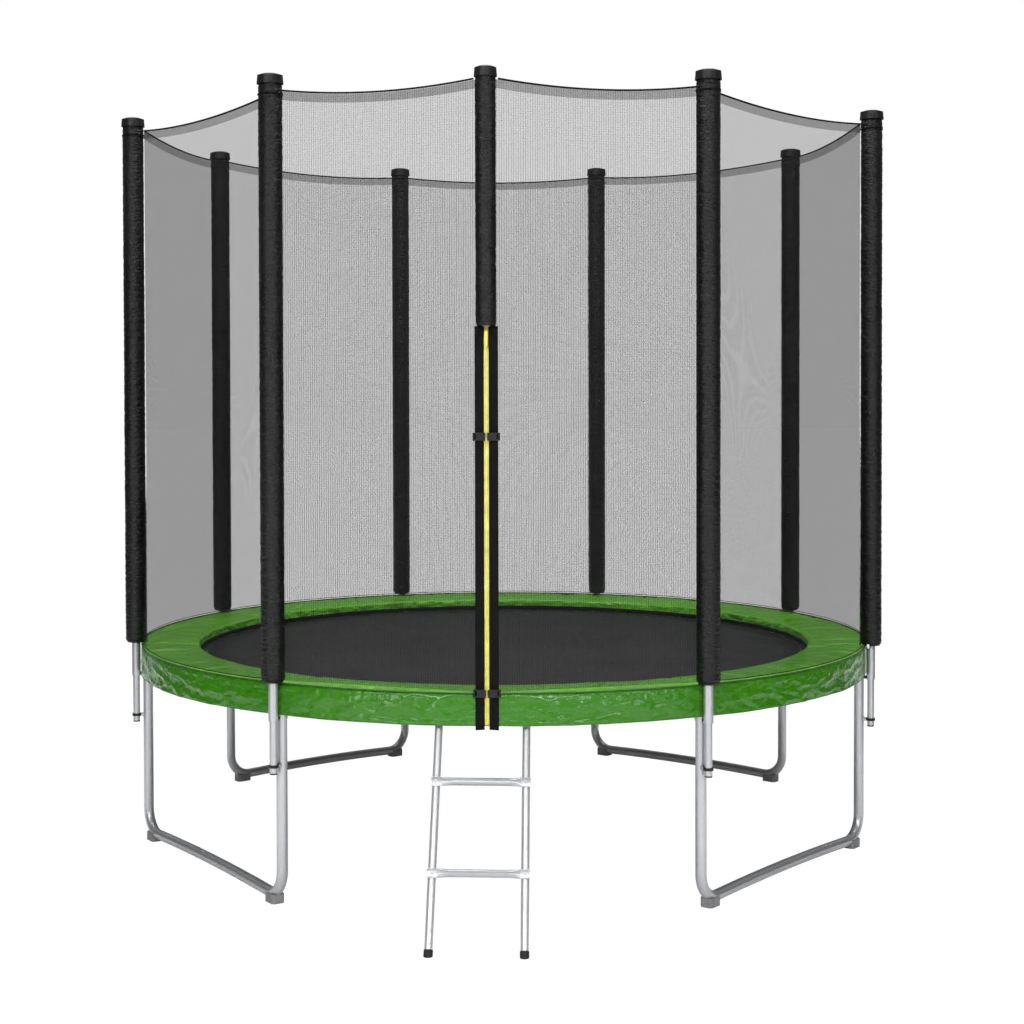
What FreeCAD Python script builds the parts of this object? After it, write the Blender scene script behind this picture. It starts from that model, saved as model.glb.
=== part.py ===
"""Round garden trampoline with a safety net and a ladder, in millimetres, +Z up.

The origin is on the ground, in the middle of the whole footprint. The entrance faces -Y.
Angles round the frame start at the entrance (-Y) and grow towards +X.
"""
import os
from math import acos, atan2, cos, degrees, pi, radians, sin, sqrt, tan

import FreeCAD
import Part

Vec = FreeCAD.Vector

# Round frame
ring_radius = 1204.0
ring_height = 615.0
ring_tube_r = 16.0
rail_gap = 1.0

# Places of the poles and leg tubes, from the entrance
pole_angles = [30.0, 76.5, 121.4, 164.2, 201.8, 241.5, 282.5, 330.0]
springs_per_rail = [8, 6, 6, 6, 5, 5, 6, 6]

# T joints
joint_wall = 1.8
joint_slack = 0.15
joint_half_length = 48.0
stub_bottom = ring_height - 72.0

# Legs
leg_tube_r = 16.0
leg_bend_r = 78.0
leg_bow_deg = 2.0
leg_top = ring_height - 25.0
foot_under_tube = 8.0
foot_length = 54.0
foot_width = 40.0
foot_height = 27.0
foot_inset = 50.0
foot_slack = 0.2

# Net poles
pole_offset = 38.0
pole_radius = ring_radius + pole_offset
upper_pole_r = 14.0
lower_pole_r = 11.0
pole_wall = 1.2
pole_slack = 0.2
upper_pole_bottom = stub_bottom - 1.0
pole_neck = 34.0
pole_top = 2379.0
lower_pole_bottom = upper_pole_bottom - 150.0
lower_pole_top = upper_pole_bottom + 98.0
plug_lip = 4.0
plug_stem = 12.0

# Clamps and spacers between the poles and the legs
clamp_height = 8.0
clamp_centre = lower_pole_bottom + 19.0
clamp_wall = 3.0
clamp_half_width = 8.0
spacer_height = 8.0
spacer_centre = stub_bottom + 5.0
spacer_half_width = 8.0

# Foam sleeves and caps on the poles
sleeve_r = 35.0
sleeve_bottom = ring_height + 38.0
sleeve_top = pole_top - 14.0
sleeve_taper = 6.0
sleeve_sides = 12
cap_wall = 2.0
cap_skirt = 20.0
cap_rise = 9.0
cap_seat = 0.3

# Jumping mat
spring_room = 164.0
mat_radius = ring_radius - spring_room
mat_thick = 1.0
mat_height = ring_height - 15.0
edge_band_width = 25.0
edge_band_thick = 4.0
ring_wire = 3.4
ring_half_width = 19.0
ring_depth = 20.0
seat_gap = 0.3

# Springs
spring_body_r = 6.5
spring_neck_r = 2.6
spring_taper = 7.0
spring_body_start = mat_radius + 42.0
spring_body_end = ring_radius - 32.0
hook_wire = 3.0
hook_drop = 7.5
hook_pocket = 7.0
slot_slack = 0.6
coil_sides = 6

# Pad over the springs
pad_inner = mat_radius - 7.0
pad_outer = ring_radius + 21.8
pad_top_outer = ring_height + 35.0
pad_top_inner = ring_height + 12.0
pad_crown = 3.0
pad_foam = 22.5
pad_round = 7.0
pad_seam_width = 5.0
pad_seam_depth = 3.0
skirt_thick = 1.6
skirt_bottom = ring_height - 58.0
skirt_seam_gap = 0.4

# Net
net_thick = 2.0
net_bottom = sleeve_bottom + 0.4
net_top = pole_top - 35.0
net_flare = 15.0
net_sag = 22.0
net_border = 12.0
net_strand = 4.0
net_joint_gap = 0.7
net_columns = 3
net_rows = 8
rope_r = 3.0

# Entrance
zip_gap = 1.6
zip_half_width = 5.4
zip_thick = 2.4
band_width = 27.0
band_thick = 2.0
band_top = 1660.0
band_bottom = ring_height - 68.0
zip_top = band_top - 56.0
zip_bottom = band_bottom + 15.0
net_apex = pole_radius - 9.0
net_edge = 9.7
band_gap = 0.2
flap_foot = 100.0
flap_gap = 1.0
slider_height = 24.0
slider_half_width = 4.6
slider_plate = 2.0
slider_clear = 0.4
slider_base = band_top - 33.0
bail_width = 3.0
bail_reach = 4.6
bail_height = 12.0
bail_rise = 8.4
bail_room = 3.0
pull_length = 32.0
pull_width = 8.0
pull_bar = 1.8
pull_eye = 8.0
clip_heights = [ring_height + 36.0, band_top - 300.0]
clip_height = 22.0
clip_depth = 10.0
clip_nose_gap = 7.0
clip_nose_undercut = 7.4
clip_overhang = 3.0

# Padded stay over the entrance
stay_r = 29.0
stay_bottom = band_top + 4.5
stay_top = pole_top - 13.0
stay_rod_r = 4.0
stay_rod_inset = 6.0

# Ladder
ladder_azimuth = -0.7
ladder_lean_deg = 28.8
ladder_rail_top = ring_height - 37.0
ladder_hang = 29.3
ladder_foot = ring_radius - ladder_hang + ladder_rail_top * tan(radians(ladder_lean_deg))
ladder_top_spacing = 244.0
ladder_bottom_spacing = 254.0
ladder_rail_r = 11.0
ladder_rail_wall = 1.2
ladder_sides = 16
rung_heights = [189.0, 409.0]
rung_r = 10.5
rung_flat = 26.0
rung_flat_thick = 3.0
rung_taper = 34.0
boot_r = 12.5
boot_length = 16.0
boot_slack = 0.1
hook_strip = 2.0
hook_clear = 0.3
hook_width = 16.0
hook_tail = 34.0


def polar(angle, radius, z):
    """A point at an angle round the frame."""
    a = radians(angle)
    return Vec(radius * sin(a), -radius * cos(a), z)


def turned(shape, angle):
    """A shape built at the entrance, turned to its angle round the frame."""
    copy = shape.copy()
    copy.rotate(Vec(0, 0, 0), Vec(0, 0, 1), angle)
    return copy


def rod(start, direction, length, radius):
    return Part.makeCylinder(radius, length, start, direction)


def tube(start, direction, length, radius, wall):
    bore = rod(start, direction, length, radius - wall)
    return rod(start, direction, length, radius).cut(bore)


def face_of(points):
    return Part.Face(Part.makePolygon(points + [points[0]]))


def revolved(points, centre):
    """A solid of revolution about the vertical line through centre; points are (radius, z)."""
    outline = face_of([centre + Vec(r, 0, z) for r, z in points])
    return outline.revolve(centre, Vec(0, 0, 1), 360)


def ring_section(radius, start_angle, span):
    """Part of a round bar that is bent to the frame's circle."""
    centre = polar(start_angle, ring_radius, ring_height)
    along = Vec(cos(radians(start_angle)), sin(radians(start_angle)), 0)
    profile = Part.Face(Part.Wire(Part.makeCircle(radius, centre, along)))
    return profile.revolve(Vec(0, 0, 0), Vec(0, 0, 1), span)


def arc_degrees(length):
    return degrees(length / ring_radius)


def pole_pairs():
    """Each rail's first and last angle, the entrance rail first."""
    starts = [pole_angles[-1] - degrees(2 * pi)] + pole_angles[:-1]
    return list(zip(starts, pole_angles))


def spring_angles():
    angles = []
    for (first, last), count in zip(pole_pairs(), springs_per_rail):
        step = (last - first) / count
        angles += [(first + step * (i + 0.5), first) for i in range(count)]
    return angles


def spring_height(radius):
    """Height of a spring's middle line, which falls from the frame to the mat."""
    ring_face = ring_radius - ring_tube_r
    fall = ring_height - mat_height
    apex = mat_radius + edge_ring_offset()
    return ring_height - fall * (ring_face - radius) / (ring_face - apex)


def edge_ring_offset():
    return seat_gap + ring_depth


def make_rails():
    rails = {}
    for number, (first, last) in enumerate(pole_pairs(), 1):
        trim = arc_degrees(rail_gap) / 2
        rail = ring_section(ring_tube_r, first + trim, last - first - 2 * trim)
        slots = [turned(spring_slot(), a) for a, owner in spring_angles() if owner == first]
        rails["top_rail_%d" % number] = rail.cut(Part.makeCompound(slots))
    return rails


def spring_slot():
    """The pocket in the frame that a spring's outer hook drops into, at the entrance."""
    width = hook_wire + 2 * slot_slack
    face = ring_radius - ring_tube_r
    depth = hook_pocket + slot_slack
    low = ring_height - hook_wire / 2 - hook_drop - slot_slack
    height = hook_drop + hook_wire + 2 * slot_slack
    return Part.makeBox(width, depth + 2, height, Vec(-width / 2, -face - depth, low))


def joint_sizes():
    """Bore of the straight T joints, with room for the bend of the rails, and its middle's radius."""
    bow = ring_radius - sqrt(ring_radius ** 2 - joint_half_length ** 2)
    return ring_tube_r + bow / 2 + joint_slack, ring_radius - bow / 2


def make_joints():
    """A sleeve over the rail ends with a stub for the leg tube, fused as they are welded."""
    bore_r, middle = joint_sizes()
    outer_r = bore_r + joint_wall
    end = Vec(-joint_half_length, -middle, ring_height)
    across = Vec(1, 0, 0)
    base = polar(0, ring_radius, stub_bottom)
    sleeve = rod(end, across, 2 * joint_half_length, outer_r)
    stub = rod(base, Vec(0, 0, 1), ring_height - stub_bottom, leg_tube_r + joint_slack + joint_wall)
    bore = rod(end - across, across, 2 * joint_half_length + 2, bore_r)
    leg_bore = rod(base, Vec(0, 0, 1), ring_height - stub_bottom, leg_tube_r + joint_slack)
    joint = sleeve.fuse(stub).cut(bore).cut(leg_bore)
    return Part.makeCompound([turned(joint, a) for a in pole_angles])


def leg_bar(half_span, radius):
    """A U-shaped leg in its own XZ plane: two uprights, two bends and a slightly bowed bar."""
    bow = radians(leg_bow_deg)
    low = foot_under_tube + leg_tube_r
    bend_z = low + leg_bend_r
    bend_x = half_span - leg_bend_r
    end_x = bend_x - leg_bend_r * sin(bow)
    end_z = bend_z - leg_bend_r * cos(bow)
    bar_r = end_x / sin(bow)
    bar_centre = Vec(0, 0, end_z - bar_r * cos(bow))
    pieces = []
    for side in (-1, 1):
        foot = Vec(side * half_span, 0, bend_z)
        pieces.append(rod(foot, Vec(0, 0, 1), leg_top - bend_z, radius))
        profile = Part.Face(Part.Wire(Part.makeCircle(radius, foot, Vec(0, 0, 1))))
        turn = side * (90 + leg_bow_deg)
        pieces.append(profile.revolve(Vec(side * bend_x, 0, bend_z), Vec(0, 1, 0), turn))
    start = Vec(-end_x, 0, end_z)
    heading = Vec(cos(bow), 0, sin(bow))
    profile = Part.Face(Part.Wire(Part.makeCircle(radius, start, heading)))
    pieces.append(profile.revolve(bar_centre, Vec(0, 1, 0), 2 * leg_bow_deg))
    return pieces[0].fuse(pieces[1:])


def leg_places():
    """Middle angle, half span and distance from the centre of each leg."""
    places = []
    for index in range(0, 8, 2):
        first, last = pole_angles[index:index + 2]
        half_angle = (last - first) / 2
        places.append((first + half_angle, ring_radius * sin(radians(half_angle)),
                       ring_radius * cos(radians(half_angle))))
    return places


def make_legs():
    legs = {}
    names = ["leg_front_right", "leg_back_right", "leg_back_left", "leg_front_left"]
    for name, (angle, half_span, distance) in zip(names, leg_places()):
        leg = leg_bar(half_span, leg_tube_r)
        leg.translate(Vec(0, -distance, 0))
        legs[name] = turned(leg, angle)
    return legs


def make_foot_blocks():
    """Plastic saddles under the lowest point of each leg corner."""
    blocks = []
    for angle, half_span, distance in leg_places():
        groove = leg_bar(half_span, leg_tube_r + foot_slack)
        for side in (-1, 1):
            middle = side * (half_span - foot_inset)
            block = Part.makeBox(foot_length, foot_width, foot_height,
                                 Vec(middle - foot_length / 2, -foot_width / 2, 0))
            edges = [e for e in block.Edges if abs(e.Vertexes[0].Z - e.Vertexes[1].Z) > 1]
            block = block.makeChamfer(7.0, edges)
            block = block.cut(groove)
            block.translate(Vec(0, -distance, 0))
            blocks.append(turned(block, angle))
    return Part.makeCompound(blocks)


def upper_pole():
    neck_r = lower_pole_r + pole_slack
    bore_r = upper_pole_r - pole_wall
    foot = upper_pole_bottom
    shoulder = foot + pole_neck
    outline = [
        (neck_r, foot), (upper_pole_r, foot), (upper_pole_r, pole_top),
        (bore_r, pole_top), (bore_r, shoulder), (neck_r, shoulder),
    ]
    return revolved(outline, polar(0, pole_radius, 0))


def lower_pole():
    base = polar(0, pole_radius, lower_pole_bottom)
    return tube(base, Vec(0, 0, 1), lower_pole_top - lower_pole_bottom, lower_pole_r, pole_wall)


def end_plug():
    base = polar(0, pole_radius, lower_pole_bottom)
    stem = rod(base, Vec(0, 0, 1), plug_stem, lower_pole_r - pole_wall)
    lip = rod(base - Vec(0, 0, plug_lip), Vec(0, 0, 1), plug_lip, lower_pole_r)
    return lip.fuse(stem).removeSplitter()


def pole_clamp():
    """A black ring round the pole with a saddle that leans on the leg tube."""
    low = clamp_centre - clamp_height / 2
    ring_r = lower_pole_r + pole_slack
    pole_at = polar(0, pole_radius, low)
    leg_at = polar(0, ring_radius, low)
    ring = rod(pole_at, Vec(0, 0, 1), clamp_height, ring_r + clamp_wall)
    bridge = Part.makeBox(2 * clamp_half_width, pole_radius - ring_radius, clamp_height,
                          Vec(-clamp_half_width, -pole_radius, low))
    clamp = ring.fuse(bridge)
    clamp = clamp.cut(rod(pole_at, Vec(0, 0, 1), clamp_height, ring_r))
    clamp = clamp.cut(rod(leg_at, Vec(0, 0, 1), clamp_height, leg_tube_r + pole_slack))
    return clamp.removeSplitter()


def spacer():
    """A block between the T joint's stub and the pole, hollowed on both sides."""
    low = spacer_centre - spacer_height / 2
    stub_r = leg_tube_r + joint_slack + joint_wall
    block = Part.makeBox(2 * spacer_half_width, pole_radius - ring_radius, spacer_height,
                         Vec(-spacer_half_width, -pole_radius, low))
    block = block.cut(rod(polar(0, pole_radius, low), Vec(0, 0, 1), spacer_height,
                          upper_pole_r + pole_slack))
    return block.cut(rod(polar(0, ring_radius, low), Vec(0, 0, 1), spacer_height,
                         stub_r + pole_slack))


def many_sided(radius, z, sides, centre):
    """A level wire with flat sides round centre."""
    points = []
    for i in range(sides):
        turn = 2 * pi * i / sides
        points.append(centre + Vec(radius * cos(turn), radius * sin(turn), z))
    return Part.makePolygon(points + [points[0]])


def pole_sleeve():
    """A foam sleeve, drawn in at both ends; few flat sides are enough under its cloth cover."""
    centre = polar(0, pole_radius, 0)
    bore = (upper_pole_r + pole_slack) / cos(pi / sleeve_sides)
    sections = [
        (sleeve_r - sleeve_taper, sleeve_bottom), (sleeve_r, sleeve_bottom + 2 * sleeve_taper),
        (sleeve_r, sleeve_top - sleeve_taper), (sleeve_r - sleeve_taper / 2, sleeve_top),
    ]
    foam = Part.makeLoft([many_sided(r, z, sleeve_sides, centre) for r, z in sections], True, True)
    hollow = Part.Face(many_sided(bore, sleeve_bottom, sleeve_sides, centre))
    return foam.cut(hollow.extrude(Vec(0, 0, sleeve_top - sleeve_bottom)))


def cap_outline(radius, top, stem_r):
    """A cup over the sleeve's top with a stem into the tube below it."""
    inside = radius + cap_seat
    outside = inside + cap_wall
    under = top + cap_seat
    return [
        (0, under - cap_skirt * 2), (stem_r, under - cap_skirt * 2), (stem_r, under), (inside, under),
        (inside, under - cap_skirt), (outside + 1, under - cap_skirt),
        (outside - 1, under + cap_rise * 0.5), (outside * 0.6, under + cap_rise),
        (0, under + cap_rise),
    ]


def pole_cap():
    stem_r = upper_pole_r - pole_wall - pole_slack
    cup = cap_outline(sleeve_r, pole_top, stem_r)
    return revolved(cup, polar(0, pole_radius, 0))


def repeated(make):
    shape = make()
    return Part.makeCompound([turned(shape, a) for a in pole_angles])


def make_mat():
    low = mat_height - mat_thick / 2
    return Part.makeCylinder(mat_radius - edge_band_width - seat_gap, mat_thick, Vec(0, 0, low))


def make_edge_band():
    low = mat_height - edge_band_thick / 2
    inner = mat_radius - edge_band_width
    outer = Part.makeCylinder(mat_radius, edge_band_thick, Vec(0, 0, low))
    return outer.cut(Part.makeCylinder(inner, edge_band_thick, Vec(0, 0, low)))


def mat_ring():
    """A triangular wire ring, its base at the mat's edge and its point outwards."""
    low = mat_height - ring_wire / 2
    base = mat_radius + seat_gap
    tip = base + ring_depth
    blunt = ring_wire * 1.2
    wire = ring_wire

    def outline(inset):
        return [
            Vec(-ring_half_width + inset * 2.2, -base - inset, low),
            Vec(-blunt + inset * 0.55, -tip + inset, low),
            Vec(blunt - inset * 0.55, -tip + inset, low),
            Vec(ring_half_width - inset * 2.2, -base - inset, low),
        ]

    return face_of(outline(0)).cut(face_of(outline(wire))).extrude(Vec(0, 0, ring_wire))


def spring():
    """A coil drawn as its envelope, with a hook at each end."""
    ring_face = ring_radius - ring_tube_r
    tip = mat_radius + edge_ring_offset()
    hook_in = tip - ring_wire - seat_gap
    hook_out = ring_face + hook_pocket - hook_wire
    start_z = spring_height(spring_body_start)
    end_z = spring_height(spring_body_end)
    start = Vec(0, -spring_body_start, start_z)
    axis = Vec(0, -spring_body_end, end_z) - start
    length = axis.Length
    axis.normalize()
    side = Vec(1, 0, 0)
    up = side.cross(axis)

    def ring(distance, radius):
        points = []
        for i in range(coil_sides):
            a = 2 * pi * (i + 0.5) / coil_sides
            points.append(start + axis * distance + side * (radius * cos(a)) + up * (radius * sin(a)))
        return Part.makePolygon(points + [points[0]])

    coil = Part.makeLoft([ring(0, spring_neck_r), ring(spring_taper, spring_body_r),
                          ring(length - spring_taper, spring_body_r), ring(length, spring_neck_r)],
                         True, True)
    half = hook_wire / 2
    in_z = mat_height + ring_wire / 2 + seat_gap
    out_z = ring_height - half

    def hook(points):
        return face_of([Vec(-half, -r, z) for r, z in points]).extrude(Vec(hook_wire, 0, 0))

    inner_hook = hook([
        (spring_body_start + 1, start_z + half), (spring_body_start + 1, start_z - half),
        (tip + 2, in_z), (hook_in, in_z), (hook_in, in_z - hook_drop),
        (hook_in - hook_wire, in_z - hook_drop), (hook_in - hook_wire, in_z + hook_wire),
        (tip + 1, in_z + hook_wire),
    ])
    outer_hook = hook([
        (spring_body_end - 1, end_z + half), (ring_face - 3, out_z + half),
        (hook_out + hook_wire, out_z + half), (hook_out + hook_wire, out_z - hook_drop),
        (hook_out, out_z - hook_drop), (hook_out, out_z - half), (ring_face - 3, out_z - half),
        (spring_body_end - 1, end_z - half),
    ])
    return coil.fuse([inner_hook, outer_hook])


def make_springs():
    one = spring()
    return Part.makeCompound([turned(one, a) for a, _ in spring_angles()])


def make_mat_rings():
    one = mat_ring()
    return Part.makeCompound([turned(one, a) for a, _ in spring_angles()])


def pad_seat():
    """Top of the joints and hooks that the pad lies on."""
    bore_r, _ = joint_sizes()
    return ring_height + max(bore_r + joint_wall, ring_tube_r + hook_clear + hook_strip) + seat_gap


def pad_profile():
    """Section of the pad: a wedge with round edges, level over the frame."""
    knee = ring_radius - ring_tube_r
    level = pad_seat()
    inner_low = pad_top_inner - pad_foam
    rise = pad_top_outer - pad_top_inner

    def top(share, crown):
        return (pad_inner + (pad_outer - pad_inner) * share, pad_top_inner + rise * share + crown)

    inner_edge = [(pad_inner + pad_round, inner_low), (pad_inner + pad_round * 0.3, inner_low + 2),
                  (pad_inner, inner_low + pad_foam / 2), (pad_inner + pad_round * 0.3, pad_top_inner - 2)]
    crown = [top(0.06, 0.4), top(0.25, pad_crown * 0.8), top(0.5, pad_crown), top(0.78, pad_crown * 0.7)]
    outer_edge = [(pad_outer - pad_round, pad_top_outer), (pad_outer - pad_round * 0.3, pad_top_outer - 2),
                  (pad_outer, pad_top_outer - pad_round), (pad_outer, level)]
    under = [(knee, level), ((knee + pad_inner) / 2, inner_low + (level - inner_low) * 0.46)]
    return inner_edge + crown + outer_edge + under


def make_pad():
    """The foam pad, with a sewn channel across it beside every pole."""
    pad = revolved(pad_profile(), Vec(0, 0, 0))
    length = pad_outer - pad_inner + 40
    slope = atan2(pad_top_outer - pad_top_inner, pad_outer - pad_inner)
    half = pad_seam_width / 2
    top = pad_top_inner + pad_crown
    groove = face_of([Vec(-half * 3, -pad_inner + 20, top + 2 * pad_seam_depth),
                      Vec(0, -pad_inner + 20, top - pad_seam_depth),
                      Vec(half * 3, -pad_inner + 20, top + 2 * pad_seam_depth)])
    groove = groove.extrude(Vec(0, -length * cos(slope), length * sin(slope)))
    return pad.cut(Part.makeCompound([turned(groove, a) for a in seam_angles()]))


def seam_angles():
    return [a for a in pole_angles] + [0.0]


def make_skirt():
    """The hanging cover, sewn from one length between each pair of seams."""
    outer_r = pad_outer
    strips = []
    seams = sorted(seam_angles())
    for first, last in zip(seams, seams[1:] + [seams[0] + degrees(2 * pi)]):
        trim = arc_degrees(skirt_seam_gap) / 2
        low = pad_seat() - seat_gap
        outline = face_of([
            polar(first + trim, outer_r - skirt_thick, skirt_bottom),
            polar(first + trim, outer_r, skirt_bottom),
            polar(first + trim, outer_r, low),
            polar(first + trim, outer_r - skirt_thick, low),
        ])
        strips.append(outline.revolve(Vec(0, 0, 0), Vec(0, 0, 1), last - first - 2 * trim))
    return Part.makeCompound(strips)


def net_corner_radius():
    """Where two panels meet, just inside the sleeves."""
    return pole_radius - sleeve_r - seat_gap - net_thick / 2


def sag_points(start, end):
    """Points of a top hem that hangs between two poles."""
    points = []
    for i in range(net_columns + 1):
        share = i / net_columns
        drop = net_sag * 4 * share * (1 - share)
        points.append(start + (end - start) * share + Vec(0, 0, net_top - drop))
    return points


def net_plate(start, end, outline, sagging):
    """A holed plate standing on the line from start to end; outline is (along, z) points.

    A sagging plate's outline starts at the top far corner and ends at the top near one.
    """
    along = end - start
    length = along.Length
    along.normalize()
    normal = Vec(along.y, -along.x, 0)

    def place(s, z):
        return start + along * s + Vec(0, 0, z) - normal * (net_thick / 2)

    points = [place(s, z) for s, z in outline]
    edges = [Part.LineSegment(a, b).toShape() for a, b in zip(points, points[1:])]
    if sagging:
        top = [point - normal * (net_thick / 2) for point in sag_points(start, end)]
        edges += [Part.LineSegment(a, b).toShape() for a, b in zip(top, top[1:])]
    else:
        edges.append(Part.LineSegment(points[-1], points[0]).toShape())
    wire = Part.Wire(edges)
    plate = Part.Face(wire)
    inside = plate.makeOffset2D(-net_border)
    low = min(z for _, z in outline)
    high = max(z for _, z in outline)
    first = min(s for s, _ in outline)
    last = max(s for s, _ in outline)
    columns = max(1, round(net_columns * (last - first) / length))
    rows = max(1, round(net_rows * (high - low) / (net_top - net_bottom)))
    wide = (last - first) / columns
    tall = (high - low) / rows
    holes = []
    for i in range(columns):
        for j in range(rows):
            s = first + i * wide + net_strand / 2
            z = low + j * tall + net_strand / 2
            cell = face_of([place(s, z), place(s + wide - net_strand, z),
                            place(s + wide - net_strand, z + tall - net_strand),
                            place(s, z + tall - net_strand)])
            hole = cell.common(inside)
            if hole.Area > 400:
                holes.append(hole)
    net = plate.cut(Part.makeCompound(holes))
    return net.Faces[0].extrude(normal * net_thick)


def strand(start, end, normal, width):
    """A straight flat strand of the net from start to end, its face towards normal."""
    way = end - start
    side = way.cross(normal)
    side.normalize()
    side = side * (width / 2)
    face = way.cross(side)
    face.normalize()
    face = face * (net_thick / 2)
    corners = [start + side + face, start - side + face, start - side - face, start + side - face]
    return face_of(corners).extrude(way)


def net_panel(first, last):
    """A side of the net: straight between its poles on top, round like the pad below."""
    radius = net_corner_radius()
    left = polar(first, radius, 0)
    right = polar(last, radius, 0)
    span = right - left
    edge = (net_joint_gap + net_border / 2) / span.Length
    columns = [edge] + [i / net_columns for i in range(1, net_columns)] + [1 - edge]
    lines = []
    for share in columns:
        top = left + span * share
        foot = top
        if edge < share < 1 - edge:
            foot = polar(first + (last - first) * share, radius + net_flare, 0)
        high = net_top - net_border / 2 - net_sag * 4 * share * (1 - share)
        lines.append((foot + Vec(0, 0, net_bottom + net_border / 2), top + Vec(0, 0, high)))
    strands = []
    for column, (foot, top) in enumerate(lines):
        at_edge = column in (0, net_columns)
        reach = Vec(0, 0, net_border / 2 if at_edge else 0)
        facing = Vec(span.y, -span.x, 0)
        strands.append(strand(foot - reach, top + reach, facing, net_border if at_edge else net_strand))
    for row in range(net_rows + 1):
        level = [foot + (top - foot) * (row / net_rows) for foot, top in lines]
        for a, b in zip(level, level[1:]):
            facing = Vec(b.y - a.y, a.x - b.x, 0)
            strands.append(strand(a, b, facing, net_border if row in (0, net_rows) else net_strand))
    return strands[0].fuse(strands[1:])


def make_net_panels():
    return {"net_panel_%d" % number: net_panel(first, last)
            for number, (first, last) in enumerate(pole_pairs()[1:], 1)}


def front_line():
    """Plan line of the right front panel, from beside the zip to its pole."""
    end = polar(pole_angles[0], net_corner_radius(), 0)
    start = Vec(net_edge, -net_apex, 0)
    side = end - start
    side.normalize()
    return start, end - side * net_joint_gap


def front_frame():
    """The right front panel's inner end, its direction and its outward normal."""
    start, end = front_line()
    side = end - start
    side.normalize()
    return start, side, Vec(side.y, -side.x, 0)


def front_point(along, out, z):
    start, side, normal = front_frame()
    return start + side * along + normal * out + Vec(0, 0, z)


def fold_line():
    """The flap's fold in the panel's own plane, as (along, z) of its head and its foot."""
    start, end = front_line()
    return (0.0, band_top), ((end - start).Length - flap_foot, net_bottom)


def fold_height(along):
    (head, head_z), (foot, foot_z) = fold_line()
    return head_z + (foot_z - head_z) * (along - head) / (foot - head)


def make_front_panels():
    """The right front panel, cut along the fold into a fixed part and the flap."""
    start, end = front_line()
    length = (end - start).Length
    (head, head_z), (foot, foot_z) = fold_line()
    half = flap_gap / 2
    fixed = [(length, net_top), (length, net_bottom), (foot + half, foot_z), (head, head_z + 2 * half),
             (head, net_top)]
    flap = [(head, head_z - 2 * half), (head, net_bottom), (foot - half, foot_z)]
    return net_plate(start, end, fixed, True), net_plate(start, end, flap, False)


def mirrored(shape):
    return shape.mirror(Vec(0, 0, 0), Vec(1, 0, 0))


def rope_span(start, end, first_gap, last_gap):
    """One sagging length of the top rope, lying on the panel's hem."""
    seat = Vec(0, 0, rope_r + seat_gap)
    points = [p + seat for p in sag_points(start, end)]
    side = end - start
    side.normalize()
    points[0] = points[0] + side * first_gap
    points[-1] = points[-1] - side * last_gap
    path = Part.makePolygon(points)
    way = points[1] - points[0]
    way.normalize()
    across = way.cross(Vec(0, 0, 1))
    across.normalize()
    up = across.cross(way)
    ring = []
    for i in range(6):
        turn = pi * i / 3
        ring.append(points[0] + across * (rope_r * cos(turn)) + up * (rope_r * sin(turn)))
    return path.makePipeShell([Part.makePolygon(ring + [ring[0]])], True, True, 1)


def make_rope():
    radius = net_corner_radius()
    spans = []
    for first, last in pole_pairs()[1:]:
        spans.append(rope_span(polar(first, radius, 0), polar(last, radius, 0), 2 * rope_r, 2 * rope_r))
    start, end = front_line()
    cap_reach = stay_r + cap_seat + cap_wall + 1 + rope_r
    right = rope_span(start, end, cap_reach - net_edge, 2 * rope_r)
    return Part.makeCompound(spans + [right, mirrored(right)])


def stay_back():
    """The space behind the padded stay, where the net runs."""
    _, side, _ = front_frame()
    face = front_point(0, net_thick / 2 + seat_gap, 0)
    slope = side.y / side.x
    wide = 2 * stay_r
    middle_y = face.y - slope * face.x
    low = Vec(0, 0, stay_bottom - 60)
    corners = [Vec(0, middle_y, 0), Vec(wide, middle_y + slope * wide, 0), Vec(wide, 0, 0),
               Vec(-wide, 0, 0), Vec(-wide, middle_y + slope * wide, 0)]
    return face_of([c + low for c in corners]).extrude(Vec(0, 0, stay_top - stay_bottom + 160))


def stay_shapes():
    base = polar(0, pole_radius, stay_bottom)
    height = stay_top - stay_bottom
    rod_r = stay_rod_r
    rod_at = polar(0, pole_radius + stay_rod_inset, stay_bottom + 2)
    core = rod(rod_at, Vec(0, 0, 1), height - 4, rod_r)
    hole = rod(rod_at, Vec(0, 0, 1), height, rod_r + pole_slack)
    pad = rod(base, Vec(0, 0, 1), height, stay_r).cut(stay_back()).cut(hole)
    cup = revolved(cap_outline(stay_r, stay_top, rod_r)[3:] + [(0, stay_top + cap_seat)],
                   polar(0, pole_radius, 0))
    cap = cup.cut(stay_back())
    return pad, core, cap


def band_edges():
    """Distance along the panel of the band's two edges and of the band's middle layer from it."""
    inner_x = zip_gap / 2 + zip_half_width + band_gap
    start, side, normal = front_frame()
    middle = net_thick / 2 + seat_gap + band_thick / 2
    inner = (inner_x - start.x - normal.x * (middle - band_thick / 2)) / side.x
    return inner, inner + band_width, middle


def zip_y():
    """Depth of the zip, level with the inner edges of the bands."""
    inner, _, middle = band_edges()
    return front_point(inner, middle, 0).y


def front_plate(points, back, thick):
    """A plate parallel to the right front panel; points are (along, z)."""
    _, _, normal = front_frame()
    return face_of([front_point(s, back, z) for s, z in points]).extrude(normal * thick)


def band_shapes():
    """Right webbing band, and its head above the fold, which stays with the fixed net."""
    inner, outer, middle = band_edges()
    back = middle - band_thick / 2
    half = flap_gap
    cross = fold_height(outer)
    band = front_plate([(inner, band_bottom + 3), (outer - 2, band_bottom), (outer, cross - half),
                        (0, band_top - half), (inner, band_top - half)], back, band_thick)
    head = front_plate([(1, band_top + half / 2), (outer, cross + half),
                        (outer, stay_bottom - seat_gap), (1, stay_bottom - seat_gap)], back, band_thick)
    return band, head


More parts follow.
